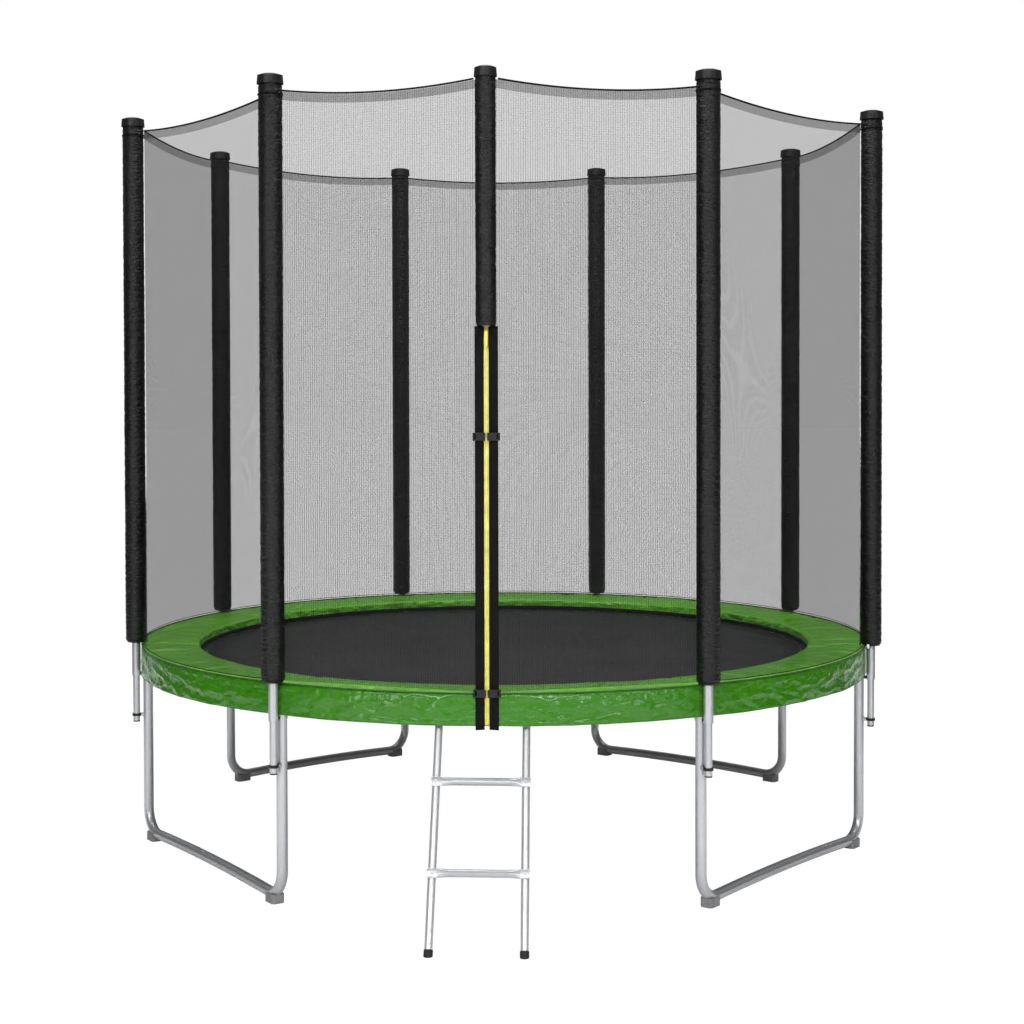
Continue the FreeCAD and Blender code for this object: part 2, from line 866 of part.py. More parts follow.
def zip_half(top):
    return Part.makeBox(zip_half_width, zip_thick, top - zip_bottom,
                        Vec(zip_gap / 2, zip_y() - zip_thick / 2, zip_bottom))


def slider_front():
    return zip_y() - zip_thick / 2 - slider_clear - slider_plate


def zip_slider():
    """Front and back plate, joined by a blade between the zip's halves, with a bail in front."""
    half = slider_half_width
    inside = zip_thick / 2 + slider_clear
    top = slider_base + slider_height
    blade_half = zip_gap / 2 - slider_clear
    nose = 5.0

    def plate(face):
        outline = [(-half, slider_base + nose), (-half + 2, slider_base), (half - 2, slider_base),
                   (half, slider_base + nose), (half, top - nose), (half - 2, top),
                   (-half + 2, top), (-half, top - nose)]
        return face_of([Vec(x, face, z) for x, z in outline]).extrude(Vec(0, slider_plate, 0))

    blade = Part.makeBox(2 * blade_half, 2 * inside, slider_height,
                         Vec(-blade_half, zip_y() - inside, slider_base))
    front = slider_front()
    low = slider_base + bail_rise
    bail = Part.makeBox(bail_width, bail_reach, bail_height, Vec(-bail_width / 2, front - bail_reach, low))
    bail = bail.cut(Part.makeBox(bail_width, bail_room, bail_height - 4,
                                 Vec(-bail_width / 2, front - bail_room, low + 2)))
    return plate(front).fuse([plate(zip_y() + inside), blade, bail])


def pull_axis():
    """Centre of the pull's top bar, which lies in the slider's bail."""
    return Vec(0, slider_front() - bail_room / 2, slider_base + bail_rise + 2.4 + pull_bar / 2)


def zip_pull():
    """Flat tab with an eye at its top, hanging from the slider's bail."""
    centre = pull_axis()
    back = centre.y - pull_bar / 2
    top = centre.z + pull_bar / 2
    half = pull_width / 2
    low = top - pull_length
    outline = [(-half, top), (half, top), (half, low + 3), (half - 2, low), (2 - half, low), (-half, low + 3)]
    tab = face_of([Vec(x, back, z) for x, z in outline]).extrude(Vec(0, pull_bar, 0))
    eye_half = bail_width / 2 + 0.6
    eye = Part.makeBox(2 * eye_half, pull_bar, pull_eye, Vec(-eye_half, back, centre.z - pull_bar / 2 - pull_eye))
    return tab.cut(eye)


def clip_half(height):
    """Right half of a clip: it sits on the band and its nose stands over the zip."""
    inner, outer, middle = band_edges()
    seat = middle + band_thick / 2 + seat_gap
    face = seat + clip_depth
    end = outer + clip_overhang
    _, side, _ = front_frame()
    nose = (clip_nose_gap / 2 - front_point(0, face, 0).x) / side.x
    bevel = 2.5
    low = height - clip_height / 2
    outline = [(end, seat), (end, face - bevel), (end - bevel, face), (nose, face),
               (nose, seat + clip_nose_undercut), (inner, seat + clip_nose_undercut), (inner, seat)]
    body = face_of([front_point(s, out, low) for s, out in outline]).extrude(Vec(0, 0, clip_height))
    window = face_of([front_point(s, seat + 2, low + 4) for s in (end - 12, end - 5)]
                     + [front_point(s, face + 1, low + 4) for s in (end - 5, end - 12)])
    return body.cut(window.extrude(Vec(0, 0, clip_height - 8)))


def make_entrance():
    fixed, flap = make_front_panels()
    band, head = band_shapes()
    clips = Part.makeCompound([clip_half(h) for h in clip_heights])
    return {
        "net_front_right": fixed, "net_front_left": mirrored(fixed),
        "net_flap_right": flap, "net_flap_left": mirrored(flap),
        "band_right": band, "band_left": mirrored(band),
        "band_heads": Part.makeCompound([head, mirrored(head)]),
        "zip_half_right": zip_half(zip_top),
        "zip_half_left": mirrored(zip_half(slider_base + slider_height / 2)),
        "zip_slider": zip_slider(), "zip_pull": zip_pull(),
        "clip_halves_right": clips, "clip_halves_left": mirrored(clips),
    }


def ladder_axis_y():
    """The hooks hang where the rails' tops meet the round frame."""
    half = ladder_top_spacing / 2
    return -sqrt(ring_radius ** 2 - half ** 2)


def ladder_point(along, side, front, z_offset=0.0):
    """A point by its distance up the ladder from the floor line."""
    lean = radians(ladder_lean_deg)
    length = ladder_rail_top / cos(lean)
    spacing = ladder_bottom_spacing + (ladder_top_spacing - ladder_bottom_spacing) * along / length
    y = -ladder_foot + along * sin(lean) - front * cos(lean)
    z = along * cos(lean) + front * sin(lean) + z_offset
    return Vec(side * spacing / 2, y, z)


def ladder_rail():
    lean = radians(ladder_lean_deg)
    length = ladder_rail_top / cos(lean)
    low = ladder_point(6.0, 1, 0)
    top = ladder_point(length, 1, 0)
    direction = top - low
    reach = direction.Length
    direction.normalize()
    rail = tube(low, direction, reach, ladder_rail_r, ladder_rail_wall)
    floor = Part.makeBox(200, 200, 50, Vec(low.x - 100, low.y - 100, 2 - 50))
    return rail.cut(floor)


def ladder_boot():
    """A rubber boot cut flat on the floor."""
    lean = radians(ladder_lean_deg)
    low = ladder_point(-boot_r, 1, 0)
    top = ladder_point(boot_length, 1, 0)
    direction = top - low
    reach = direction.Length
    direction.normalize()
    boot = rod(low, direction, reach, boot_r)
    floor = Part.makeBox(200, 200, 50, Vec(low.x - 100, low.y - 100, -50))
    inner = rod(low, direction, reach, ladder_rail_r + boot_slack)
    room = Part.makeBox(200, 200, 200, Vec(low.x - 100, low.y - 100, 2 - boot_slack))
    return boot.cut(floor).cut(inner.common(room))


def rung(height):
    """A round tube, pressed flat at both ends, on the front of the rails."""
    lean = radians(ladder_lean_deg)
    left = ladder_point(height / cos(lean), -1, 0)
    right = ladder_point(height / cos(lean), 1, 0)
    half = (right.x - left.x) / 2
    flat = ladder_rail_r + seat_gap + rung_flat_thick / 2
    centre = Vec(0, left.y, left.z)
    front = Vec(0, -cos(lean), sin(lean))
    up = Vec(0, sin(lean), cos(lean))
    round_end = half - ladder_rail_r - rung_taper

    def ring(x, forward, depth, tall):
        points = []
        for i in range(ladder_sides):
            a = 2 * pi * i / ladder_sides
            points.append(centre + Vec(x, 0, 0) + front * (forward + depth * sin(a)) + up * (tall * cos(a)))
        return Part.makePolygon(points + [points[0]])

    sections = [ring(x, flat, rung_flat_thick / 2, rung_flat / 2)
                for x in (-half - rung_flat / 2, -half + rung_flat / 2)]
    sections += [ring(x, flat, rung_r, rung_r) for x in (-round_end, round_end)]
    sections += [ring(x, flat, rung_flat_thick / 2, rung_flat / 2)
                 for x in (half - rung_flat / 2, half + rung_flat / 2)]
    return Part.makeLoft(sections, True, True)


def make_rungs():
    return Part.makeCompound([rung(height) for height in rung_heights])


def ladder_hook():
    """A bent strip from the rail's front over the frame tube, built at the right rail."""
    lean = radians(ladder_lean_deg)
    axis = Vec(0, ladder_axis_y(), ring_height)
    up = Vec(0, sin(lean), cos(lean))
    front = Vec(0, -cos(lean), sin(lean))
    length = ladder_rail_top / cos(lean)
    rail_top = ladder_point(length, 1, 0)
    rail_top.x = 0
    offset = rail_top - axis
    rail_front = offset.dot(front) + ladder_rail_r + 0.1
    rail_end = offset.dot(up)
    near = ring_tube_r + hook_clear
    far = near + hook_strip

    def at(forward, rise):
        return axis + front * forward + up * rise

    lip = -6.0
    tail = rail_end - hook_tail
    bend_low = rail_end + 2
    points = [at(-near, 0), at(0, near), at(near, 0), at(near, lip), at(far, lip), at(far, 0),
              at(0, far), at(-far, 0), at(-far, bend_low + 12), at(rail_front, bend_low),
              at(rail_front, tail), at(rail_front + hook_strip, tail),
              at(rail_front + hook_strip, bend_low - 1), at(-near, bend_low + 13)]
    edges = [
        Part.Arc(points[0], points[1], points[2]).toShape(),
        Part.LineSegment(points[2], points[3]).toShape(),
        Part.LineSegment(points[3], points[4]).toShape(),
        Part.LineSegment(points[4], points[5]).toShape(),
        Part.Arc(points[5], points[6], points[7]).toShape(),
    ]
    rest = points[7:] + [points[0]]
    edges += [Part.LineSegment(a, b).toShape() for a, b in zip(rest, rest[1:])]
    strip = Part.Face(Part.Wire(edges)).extrude(Vec(hook_width, 0, 0))
    strip.translate(Vec(-hook_width / 2, 0, 0))
    twist = degrees(acos(-ladder_axis_y() / ring_radius))
    strip.rotate(Vec(0, ladder_axis_y(), 0), Vec(0, 0, 1), twist)
    strip.translate(Vec(rail_top.x + ladder_top_spacing / 2, 0, 0))
    return strip


def make_ladder():
    rail = ladder_rail()
    boot = ladder_boot()
    hook = ladder_hook()
    parts = {
        "ladder_rail_right": rail, "ladder_rail_left": mirrored(rail),
        "ladder_hooks": Part.makeCompound([hook, mirrored(hook)]),
        "ladder_rungs": make_rungs(),
        "ladder_boots": Part.makeCompound([boot, mirrored(boot)]),
    }
    return {name: turned(shape, ladder_azimuth) for name, shape in parts.items()}


def make_parts():
    parts = {}
    parts.update(make_rails())
    parts["rail_joints"] = make_joints()
    parts.update(make_legs())
    parts["foot_blocks"] = make_foot_blocks()
    parts["upper_poles"] = repeated(upper_pole)
    parts["lower_poles"] = repeated(lower_pole)
    parts["pole_end_plugs"] = repeated(end_plug)
    parts["pole_clamps"] = repeated(pole_clamp)
    parts["pole_spacers"] = repeated(spacer)
    parts["pole_sleeves"] = repeated(pole_sleeve)
    stay, stay_rod, stay_cap = stay_shapes()
    parts["entrance_stay"] = stay
    parts["stay_rod"] = stay_rod
    parts["pole_caps"] = Part.makeCompound(repeated(pole_cap).Solids + [stay_cap])
    parts["jumping_mat"] = make_mat()
    parts["mat_edge_band"] = make_edge_band()
    parts["mat_rings"] = make_mat_rings()
    parts["springs"] = make_springs()
    parts["spring_pad"] = make_pad()
    parts["pad_skirt"] = make_skirt()
    parts.update(make_net_panels())
    parts["net_rope"] = make_rope()
    parts.update(make_entrance())
    parts.update(make_ladder())
    return parts


def main():
    parts = make_parts()
    ends = Part.makeCompound([parts["ladder_boots"], parts["pole_caps"]]).optimalBoundingBox()
    centre_y = (ends.YMin + ends.YMax) / 2
    print("centre of the round frame, y", round(-centre_y, 4))
    inner, _, middle = band_edges()
    (head, head_z), (foot, foot_z) = fold_line()
    for label, point in (("fold head", front_point(head, middle + band_thick / 2, head_z)),
                         ("fold foot", front_point(foot, middle + band_thick / 2, foot_z)),
                         ("pull axis", pull_axis())):
        print(label, [round(v, 4) for v in point - Vec(0, centre_y, 0)])
    os.makedirs("parts", exist_ok=True)
    for name, shape in parts.items():
        shape.translate(Vec(0, -centre_y, 0))
        print(name, len(shape.Solids), round(shape.Volume), "valid" if shape.isValid() else "INVALID")
        shape.exportStep("parts/%s.step" % name)


main()
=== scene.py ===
import random
from math import cos, degrees, exp, pi, radians, sin, tan, tau

import bmesh
import bpy
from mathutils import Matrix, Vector, noise


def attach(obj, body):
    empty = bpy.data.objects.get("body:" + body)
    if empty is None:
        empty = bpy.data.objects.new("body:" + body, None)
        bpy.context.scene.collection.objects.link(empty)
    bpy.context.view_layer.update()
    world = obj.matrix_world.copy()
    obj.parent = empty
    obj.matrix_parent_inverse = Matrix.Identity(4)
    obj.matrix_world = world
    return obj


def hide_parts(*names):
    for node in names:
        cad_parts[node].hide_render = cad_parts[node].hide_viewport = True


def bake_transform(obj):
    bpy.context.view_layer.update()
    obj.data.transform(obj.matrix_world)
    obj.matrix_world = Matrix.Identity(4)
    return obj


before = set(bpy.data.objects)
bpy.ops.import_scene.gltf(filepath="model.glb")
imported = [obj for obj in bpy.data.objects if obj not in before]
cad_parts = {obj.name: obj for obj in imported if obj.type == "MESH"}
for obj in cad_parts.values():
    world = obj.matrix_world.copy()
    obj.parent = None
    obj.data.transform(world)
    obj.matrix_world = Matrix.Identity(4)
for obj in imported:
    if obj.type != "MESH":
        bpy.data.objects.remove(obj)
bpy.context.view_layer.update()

# A garden trampoline with its safety net and ladder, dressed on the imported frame.
# Angles go round the frame from the entrance, in degrees, and lengths are in metres.

MIDDLE_Y = 0.1373942
POLE_ANGLES = [30.0, 76.5, 121.4, 164.2, 201.8, 241.5, 282.5, 330.0]
SPRINGS_PER_RAIL = [8, 6, 6, 6, 5, 5, 6, 6]
SIDES = ((1, "right"), (-1, "left"))
CLOTH_THICK = 0.0009

RING_R = 1.204
RING_Z = 0.615
TUBE_R = 0.016
POLE_R = 1.242
SLEEVE_R = 0.035
SLEEVE_BORE = 0.0145
SLEEVE_BOTTOM = 0.653
SLEEVE_TOP = 2.365

NET_CORNER = 1.2057
NET_BOTTOM = 0.6534
NET_TOP = 2.344
NET_SAG = 0.022
NET_APEX = 1.233
NET_EDGE = 0.0097
HEM_WIDTH = 0.024
HEM_OFFSET = 0.0012
ROPE_R = 0.0029
ROPE_RISE = 0.0033
FOOT_CORD_R = 0.0012
FOOT_CORD_RISE = 0.0019

PAD_MIDDLE = 1.13
PAD_OUTER = 1.2258
PAD_CROWN = (1.0364, 1.219)
# Up to this height the pad's inner face, and all of its underside, is painted near-black: painted shade for
# the dark gap above the mat.
PAINTED_SHADE_TOP = 0.6185
SKIRT_TOP = 0.6478
SKIRT_BOTTOM = 0.557
MAT_R = 1.04
MAT_Z = 0.60
MAT_CLOTH_R = MAT_R - 0.0265
COIL_ENDS = (1.082, 1.172)
SPRING_INNER_R = 1.0603

BAND_TOP = 1.66
BAND_BOTTOM = 0.547
BAND_WIDTH = 0.027
BAND_STANDOFF = 0.0023
BAND_INNER = -0.003877
BAND_OUTER = BAND_INNER + BAND_WIDTH
STAY_R = 0.029
STAY_BOTTOM = 1.6645
STAY_TOP = 2.366
ZIP_FOOT = 0.562
ZIP_TOPS = {1: 1.604, -1: 1.639}
FIRST_TOOTH = 0.565
TOOTH_PITCH = 0.0046
ZIP_HEAD = 1.598

LADDER_TURN = -0.7
LADDER_LEAN = radians(28.8)
LADDER_TOP = 0.578
LADDER_FOOT = RING_R - 0.0293 + LADDER_TOP * tan(LADDER_LEAN)
LADDER_LENGTH = LADDER_TOP / cos(LADDER_LEAN)
LADDER_SPACINGS = (0.254, 0.244)
RUNGS = (0.189, 0.409)

random.seed(7)


def polar(angle, radius, z=0.0):
    """A point at an angle round the frame."""
    a = radians(angle)
    return Vector((radius * sin(a), MIDDLE_Y - radius * cos(a), z))


def along(angle):
    """The level direction along the frame's ring at an angle."""
    a = radians(angle)
    return Vector((cos(a), sin(a), 0))


def up(z):
    """A step of a length straight up."""
    return Vector((0, 0, z))


def circle(radius, count, z=0.0, tilt=0.0):
    """Points round the Z axis at a height, tilted by up to a length."""
    turns = [tau * k / count for k in range(count)]
    return [Vector((radius * cos(a), radius * sin(a), z + tilt * cos(a))) for a in turns]


def spread(first, last, count):
    """Evenly spaced values from first to last, both ends included."""
    return [first + (last - first) * i / count for i in range(count + 1)]


def round_angles(steps):
    """Evenly spaced angles once round."""
    return [360.0 * i / steps for i in range(steps)]


def bump_of(distance, width):
    """A smooth hump of height 1 at distance 0."""
    return exp(-(distance / width) ** 2)


def ripple(x, y, z):
    """A smooth random value between about -1 and 1."""
    return noise.noise(Vector((x, y, z)))


def crease(x, y, z, sharpness):
    """Thin valleys, from 0 between them to 1 in them."""
    return max(0.0, 1 - sharpness * abs(ripple(x, y, z))) ** 2


# Materials


class Nodes:
    """Short calls for the nodes of a tree."""

    def __init__(self, tree):
        self.tree = tree

    def feed(self, socket, source):
        """Links a socket to another node's output, or gives it a plain value."""
        if hasattr(source, "is_output"):
            self.tree.links.new(source, socket)
        else:
            socket.default_value = source

    def node(self, kind, *sources, **named):
        """The outputs of a new node, a shader node unless its kind names another. Sources feed its
        inputs in their order, names with a capital feed the input of that name, and small names are
        the node's own settings."""
        node = self.tree.nodes.new(kind if "Node" in kind else "ShaderNode" + kind)
        for name, value in named.items():
            if name.islower():
                setattr(node, name, value)
            else:
                self.feed(node.inputs[name.replace("_", " ")], value)
        for socket, source in zip(node.inputs, sources):
            self.feed(socket, source)
        return node.outputs

    def calc(self, kind, *terms):
        """The result of one operation on numbers."""
        return self.node("Math", *terms, operation=kind)["Value"]

    def seen(self):
        """1 for the rays of a view, also those that have gone through a net, else 0."""
        rays = self.node("LightPath")
        return self.calc("MAXIMUM", rays["Is Camera Ray"], rays["Is Transmission Ray"])

    def mixed(self, share, first, second):
        """Two shaders mixed, the share saying how much of the second."""
        return self.node("MixShader", share, first, second)["Shader"]


class Finish(Nodes):
    """A material: its main shader, and short calls for the nodes behind it."""

    def __init__(self, name, colour, rough, shine=0.5, **sockets):
        self.material = bpy.data.materials.new(name)
        self.material.use_nodes = True
        super().__init__(self.material.node_tree)
        self.shader = self.tree.nodes["Principled BSDF"]
        self.give(Base_Color=(*colour, 1), Roughness=rough, Specular_IOR_Level=shine, **sockets)
        self.under = {}
        coords = self.node("TexCoord")
        self.place = coords["Object"]
        self.cloth = coords["UV"]

    def give(self, **sockets):
        """Feeds inputs of the main shader by their names."""
        for name, source in sockets.items():
            self.feed(self.shader.inputs[name.replace("_", " ")], source)

    def stretched(self, source, scale):
        return self.node("Mapping", Vector=source, Scale=scale)["Vector"]

    def noise(self, scale, detail, rough=0.55, stretch=None):
        """Uneven values over the piece, about 0.5 on average."""
        place = self.stretched(self.place, stretch) if stretch else self.place
        noise = self.node("TexNoise", Vector=place, Scale=scale, Detail=detail, Roughness=rough)
        return noise["Fac"]

    def parts(self, source, scale):
        """A place's X, Y and Z, stretched by a scale."""
        return self.node("SeparateXYZ", self.stretched(source, scale))

    def range(self, value, low, high, first, last):
        """Values from low to high, moved to lie from first to last."""
        return self.node("MapRange", value, low, high, first, last)["Result"]

    def tint(self, value, *stops):
        """Colours the material by a value, from (value, colour) stops."""
        colour = self.node("ValToRGB", value)["Color"]
        ramp = colour.node.color_ramp.elements
        while len(ramp) < len(stops):
            ramp.new(0.5)
        for element, (at, tone) in zip(ramp, stops):
            element.position = at
            element.color = (*tone, 1)
        self.give(Base_Color=colour)

    def shades(self, value, colour, *stops):
        """Colours the material by a value, from (value, brightness) stops of one colour."""
        self.tint(value, *[(at, [min(1.0, c * factor) for c in colour]) for at, factor in stops])

    def relief(self, height, depth, strength):
        """Raises the surface by a height, on top of the relief before it."""
        bump = self.node("Bump", Height=height, Distance=depth, Strength=strength, **self.under)
        self.under = {"Normal": bump["Normal"]}
        self.give(**self.under)

    def rough(self, value, low, high, first, last):
        self.give(Roughness=self.range(value, low, high, first, last))

    def show(self, share, shader):
        """Mixes another shader over the main one."""
        mixed = self.mixed(share, self.shader.outputs["BSDF"], shader)
        self.feed(self.tree.nodes["Material Output"].inputs["Surface"], mixed)


def metal_tube(name, colour, rough, spangle):
    """Satin zinc coat: faint crystals, soft streaks along the tube and small scuffs."""
    steel = Finish(name, colour, rough, Metallic=0.72)
    crystals = steel.node("TexVoronoi", Vector=steel.place, Scale=spangle)["Distance"]
    streaks = steel.noise(2.0, 4.0, stretch=(70, 70, 2.5))
    scuffs = steel.noise(11.0, 7.0, 0.7)
    mottle = steel.calc("ADD", steel.calc("MULTIPLY", crystals, 0.2), steel.calc("MULTIPLY", streaks, 0.8))
    steel.shades(mottle, colour, (0.25, 0.93), (0.5, 1), (0.8, 1.04))
    steel.rough(scuffs, 0.3, 0.75, rough - 0.03, rough + 0.08)
    steel.relief(streaks, 0.0001, 0.03)
    return steel.material


def moulded(name, colour, rough, grain=900.0):
    """Moulded plastic or rubber with a fine grain."""
    plastic = Finish(name, colour, rough, 0.3)
    fine = plastic.noise(grain, 2.0)
    wide = plastic.noise(25.0, 4.0)
    plastic.shades(wide, colour, (0.3, 0.8), (0.7, 1.25))
    plastic.rough(wide, 0.3, 0.7, rough - 0.06, rough + 0.08)
    plastic.relief(fine, 0.0002, 0.5)
    return plastic.material


def sleeve_cover():
    """Black coated cloth over foam, ruched into fine level creases."""
    cover = Finish("sleeve_cover", (0.004, 0.004, 0.0045), 0.30, 0.28)
    ruches = cover.noise(1.0, 3.0, 0.6, (42, 42, 150))
    threads = cover.noise(1400.0, 1.0)
    wear = cover.noise(9.0, 5.0)
    cover.tint(wear, (0.35, (0.003, 0.003, 0.0034)), (0.7, (0.006, 0.006, 0.0065)))
    cover.rough(wear, 0.3, 0.7, 0.22, 0.36)
    cover.relief(ruches, 0.006, 0.9)
    cover.relief(threads, 0.0002, 0.4)
    return cover.material


def green_vinyl(name, colour, gloss):
    """Glossy coated fabric with soft crinkles and a fine cloth grain under the coat."""
    vinyl = Finish(name, colour, gloss, 0.22, Coat_Weight=0.42, Coat_Roughness=0.09)
    folds = vinyl.noise(1.0, 3.0, 0.5, (10, 10, 16))
    fine = vinyl.noise(70.0, 3.0, 0.6)
    grain = vinyl.noise(1500.0, 1.0)
    fade = vinyl.noise(3.0, 4.0)
    vinyl.shades(fade, colour, (0.3, 0.92), (0.55, 1), (0.8, 1.1))
    vinyl.rough(fine, 0.3, 0.7, gloss - 0.05, gloss + 0.1)
    swell = vinyl.noise(1.0, 2.0, 0.45, (11, 11, 24))
    ridges = vinyl.calc("ABSOLUTE", vinyl.calc("SUBTRACT", swell, 0.5))
    for height, depth, strength in ((folds, 0.01, 0.6), (ridges, 0.034, 0.9), (fine, 0.001, 0.35),
                                    (grain, 0.0001, 0.4)):
        vinyl.relief(height, depth, strength)
    return vinyl.material


def crossed_threads(finish, pitch, upright, level):
    """1 on the threads of a square mesh and 0 in its holes, by each thread's share of the pitch."""
    scaled = finish.parts(finish.cloth, (1 / pitch, 1 / pitch, 1 / pitch))
    lines = [finish.calc("LESS_THAN", finish.calc("FRACT", scaled[axis]), share)
             for axis, share in (("X", upright), ("Y", level))]
    return finish.calc("MAXIMUM", *lines)


def net_mesh(name, ribs, fine, hole=0.0, thread=1.0):
    """Black knitted mesh: fine threads, a thicker one every fifth, and what a hole and a thread cover."""
    net = Finish(name, (0.007, 0.007, 0.0075), 0.7, 0.15)
    dusty = net.node("TexNoise", Vector=net.cloth, Scale=8.0, Detail=3.0, Roughness=0.55)["Fac"]
    threads = net.calc("MAXIMUM", crossed_threads(net, 0.0069, ribs, ribs * 0.5),
                       crossed_threads(net, 0.00138, fine, fine))
    net.give(Alpha=net.range(threads, 0.0, 1.0, hole, thread))
    net.tint(dusty, (0.3, (0.005, 0.005, 0.0055)), (0.7, (0.01, 0.01, 0.0105)))
    return net.material


def net_hem():
    """Folded mesh, several layers thick, that lets a little light through."""
    hem = Finish("net_hem", (0.03, 0.03, 0.031), 0.8, 0.3)
    threads = crossed_threads(hem, 0.0032, 0.35, 0.35)
    hem.give(Alpha=hem.range(threads, 0.0, 1.0, 0.34, 0.62))
    hem.tint(threads, (0.2, (0.02, 0.02, 0.021)), (0.8, (0.04, 0.04, 0.041)))
    return hem.material


def woven(finish, source, pitch):
    """The ups and downs of a plain weave, from -1 to 1."""
    scaled = finish.parts(source, (1 / pitch, 1 / pitch, 1))
    waves = [finish.calc("SINE", finish.calc("MULTIPLY", scaled[axis], tau)) for axis in "XY"]
    return finish.calc("MULTIPLY", *waves)


def webbing(name, colour, pitch=0.0022):
    """Woven tape: ribs across the piece's own length."""
    tape = Finish(name, colour, 0.66, 0.12)
    wave = woven(tape, tape.cloth, pitch)
    wear = tape.noise(30.0, 4.0)
    # The colour follows the weave's ups and downs as painted shade, on top of real wear.
    tape.shades(tape.calc("ADD", tape.calc("MULTIPLY", wave, 0.2), wear), colour, (0.3, 0.7), (0.8, 1.5))
    tape.relief(wave, 0.0004, 0.8)
    return tape.material


def mat_weave():
    """Tight black woven mat, a little worn and dusty in patches."""
    weave = Finish("mat_weave", (0.02, 0.02, 0.021), 0.55, 0.35)
    checks = woven(weave, weave.place, 0.0032)
    dust = weave.noise(4.0, 6.0, 0.6)
    # The colour follows the weave's ups and downs as painted shade, on top of real dust.
    weave.tint(weave.calc("ADD", weave.calc("MULTIPLY", checks, 0.15), dust),
               (0.25, (0.01, 0.01, 0.011)), (0.6, (0.015, 0.015, 0.016)), (0.9, (0.024, 0.024, 0.024)))
    weave.rough(dust, 0.3, 0.7, 0.42, 0.6)
    weave.relief(checks, 0.0004, 0.6)
    return weave.material


def twisted_rope():
    """Black rope with slanting strands."""
    rope = Finish("twisted_rope", (0.004, 0.004, 0.004), 0.7, 0.15)
    twist = rope.parts(rope.cloth, (150, 3, 1))
    strands = rope.calc("SINE", rope.calc("MULTIPLY", rope.calc("ADD", twist["X"], twist["Y"]), tau))
    # The strands' colour follows their relief: darker in the grooves between them, as painted shade.
    rope.tint(strands, (0.1, (0.002, 0.002, 0.002)), (0.9, (0.007, 0.007, 0.007)))
    rope.relief(strands, 0.0008, 0.7)
    return rope.material


frame_steel = metal_tube("galvanised_steel", (0.51, 0.52, 0.535), 0.32, 90.0)
ladder_steel = metal_tube("ladder_steel", (0.60, 0.61, 0.625), 0.36, 90.0)
# The rungs' steel is the ladder's steel painted darker than the rails, as painted shade.
rung_steel_painted_shade = metal_tube("rung_steel_painted_shade", (0.43, 0.44, 0.455), 0.34, 90.0)
wire_zinc = metal_tube("spring_wire", (0.40, 0.41, 0.425), 0.34, 300.0)
slider_metal = metal_tube("slider_metal", (0.80, 0.68, 0.16), 0.35, 600.0)
bolt_zinc = metal_tube("bolt_zinc", (0.50, 0.50, 0.50), 0.38, 500.0)
black_plastic = moulded("black_plastic", (0.01, 0.01, 0.011), 0.45)
grey_plastic = moulded("foot_plastic", (0.20, 0.20, 0.205), 0.5)
black_rubber = moulded("black_rubber", (0.014, 0.014, 0.014), 0.7, 400.0)
white_plastic = moulded("toggle_plastic", (0.75, 0.74, 0.72), 0.4)
cap_plastic = moulded("cap_plastic", (0.006, 0.006, 0.007), 0.38)
cover_black = sleeve_cover()
# The pad's top uses the skirt's vinyl painted lighter: painted light for the top that faces the lamps.
pad_green_painted_lit = green_vinyl("pad_vinyl_painted_light", (0.112, 0.385, 0.022), 0.30)
skirt_green = green_vinyl("skirt_vinyl", (0.031, 0.172, 0.003), 0.24)
# The seam's vinyl is painted dark green: painted shade along the seam between pad top and skirt.
seam_green_painted_shade = green_vinyl("seam_vinyl_painted_shade", (0.018, 0.075, 0.008), 0.4)
open_net = net_mesh("net_mesh", 0.12, 0.20)
side_net = net_mesh("net_mesh_side", 0.06, 0.26, 0.30, 0.70)
back_side_net = net_mesh("net_mesh_back_side", 0.0, 0.245, 0.30, 0.60)
back_net = net_mesh("net_mesh_back", 0.0, 0.12)
hem_net = net_hem()
band_web = webbing("band_webbing", (0.004, 0.004, 0.004))
mat_web = webbing("mat_webbing", (0.017, 0.017, 0.018), 0.003)
zip_tape = webbing("zip_tape", (0.86, 0.74, 0.13), 0.0012)
zip_plastic = moulded("zip_teeth", (0.86, 0.72, 0.11), 0.4)
mat_cloth = mat_weave()
# Near-black painted shade for the pad's underside and the low strip of its inner face.
pad_painted_shade = webbing("pad_painted_shade", (0.008, 0.008, 0.009))
thread_grey = webbing("stitch_thread", (0.06, 0.06, 0.062), 0.001)
rope_black = twisted_rope()
stay_fibre = moulded("stay_fibre", (0.55, 0.53, 0.46), 0.5)


# Meshes


def placed(name, data):
    """A new object in the scene."""
    thing = bpy.data.objects.new(name, data)
    bpy.context.scene.collection.objects.link(thing)
    return thing


def piece_from(name, verts, faces, material, corners=None, smooth=True):
    """An object from points and faces; corners gives each point's place on the cloth."""
    mesh = bpy.data.meshes.new(name)
    mesh.from_pydata([tuple(v) for v in verts], [], faces)
    if corners is not None:
        flat = [part for loop in mesh.loops for part in corners[loop.vertex_index]]
        mesh.uv_layers.new(name="cloth").data.foreach_set("uv", flat)
    mesh.polygons.foreach_set("use_smooth", [smooth] * len(mesh.polygons))
    mesh.materials.append(material)
    return placed(name, mesh)


def tidied(piece, merge):
    """Doubles merged and faces turned outwards."""
    form = bmesh.new()
    form.from_mesh(piece.data)
    bmesh.ops.remove_doubles(form, verts=form.verts, dist=merge)
    bmesh.ops.recalc_face_normals(form, faces=form.faces)
    form.to_mesh(piece.data)
    form.free()
    return piece


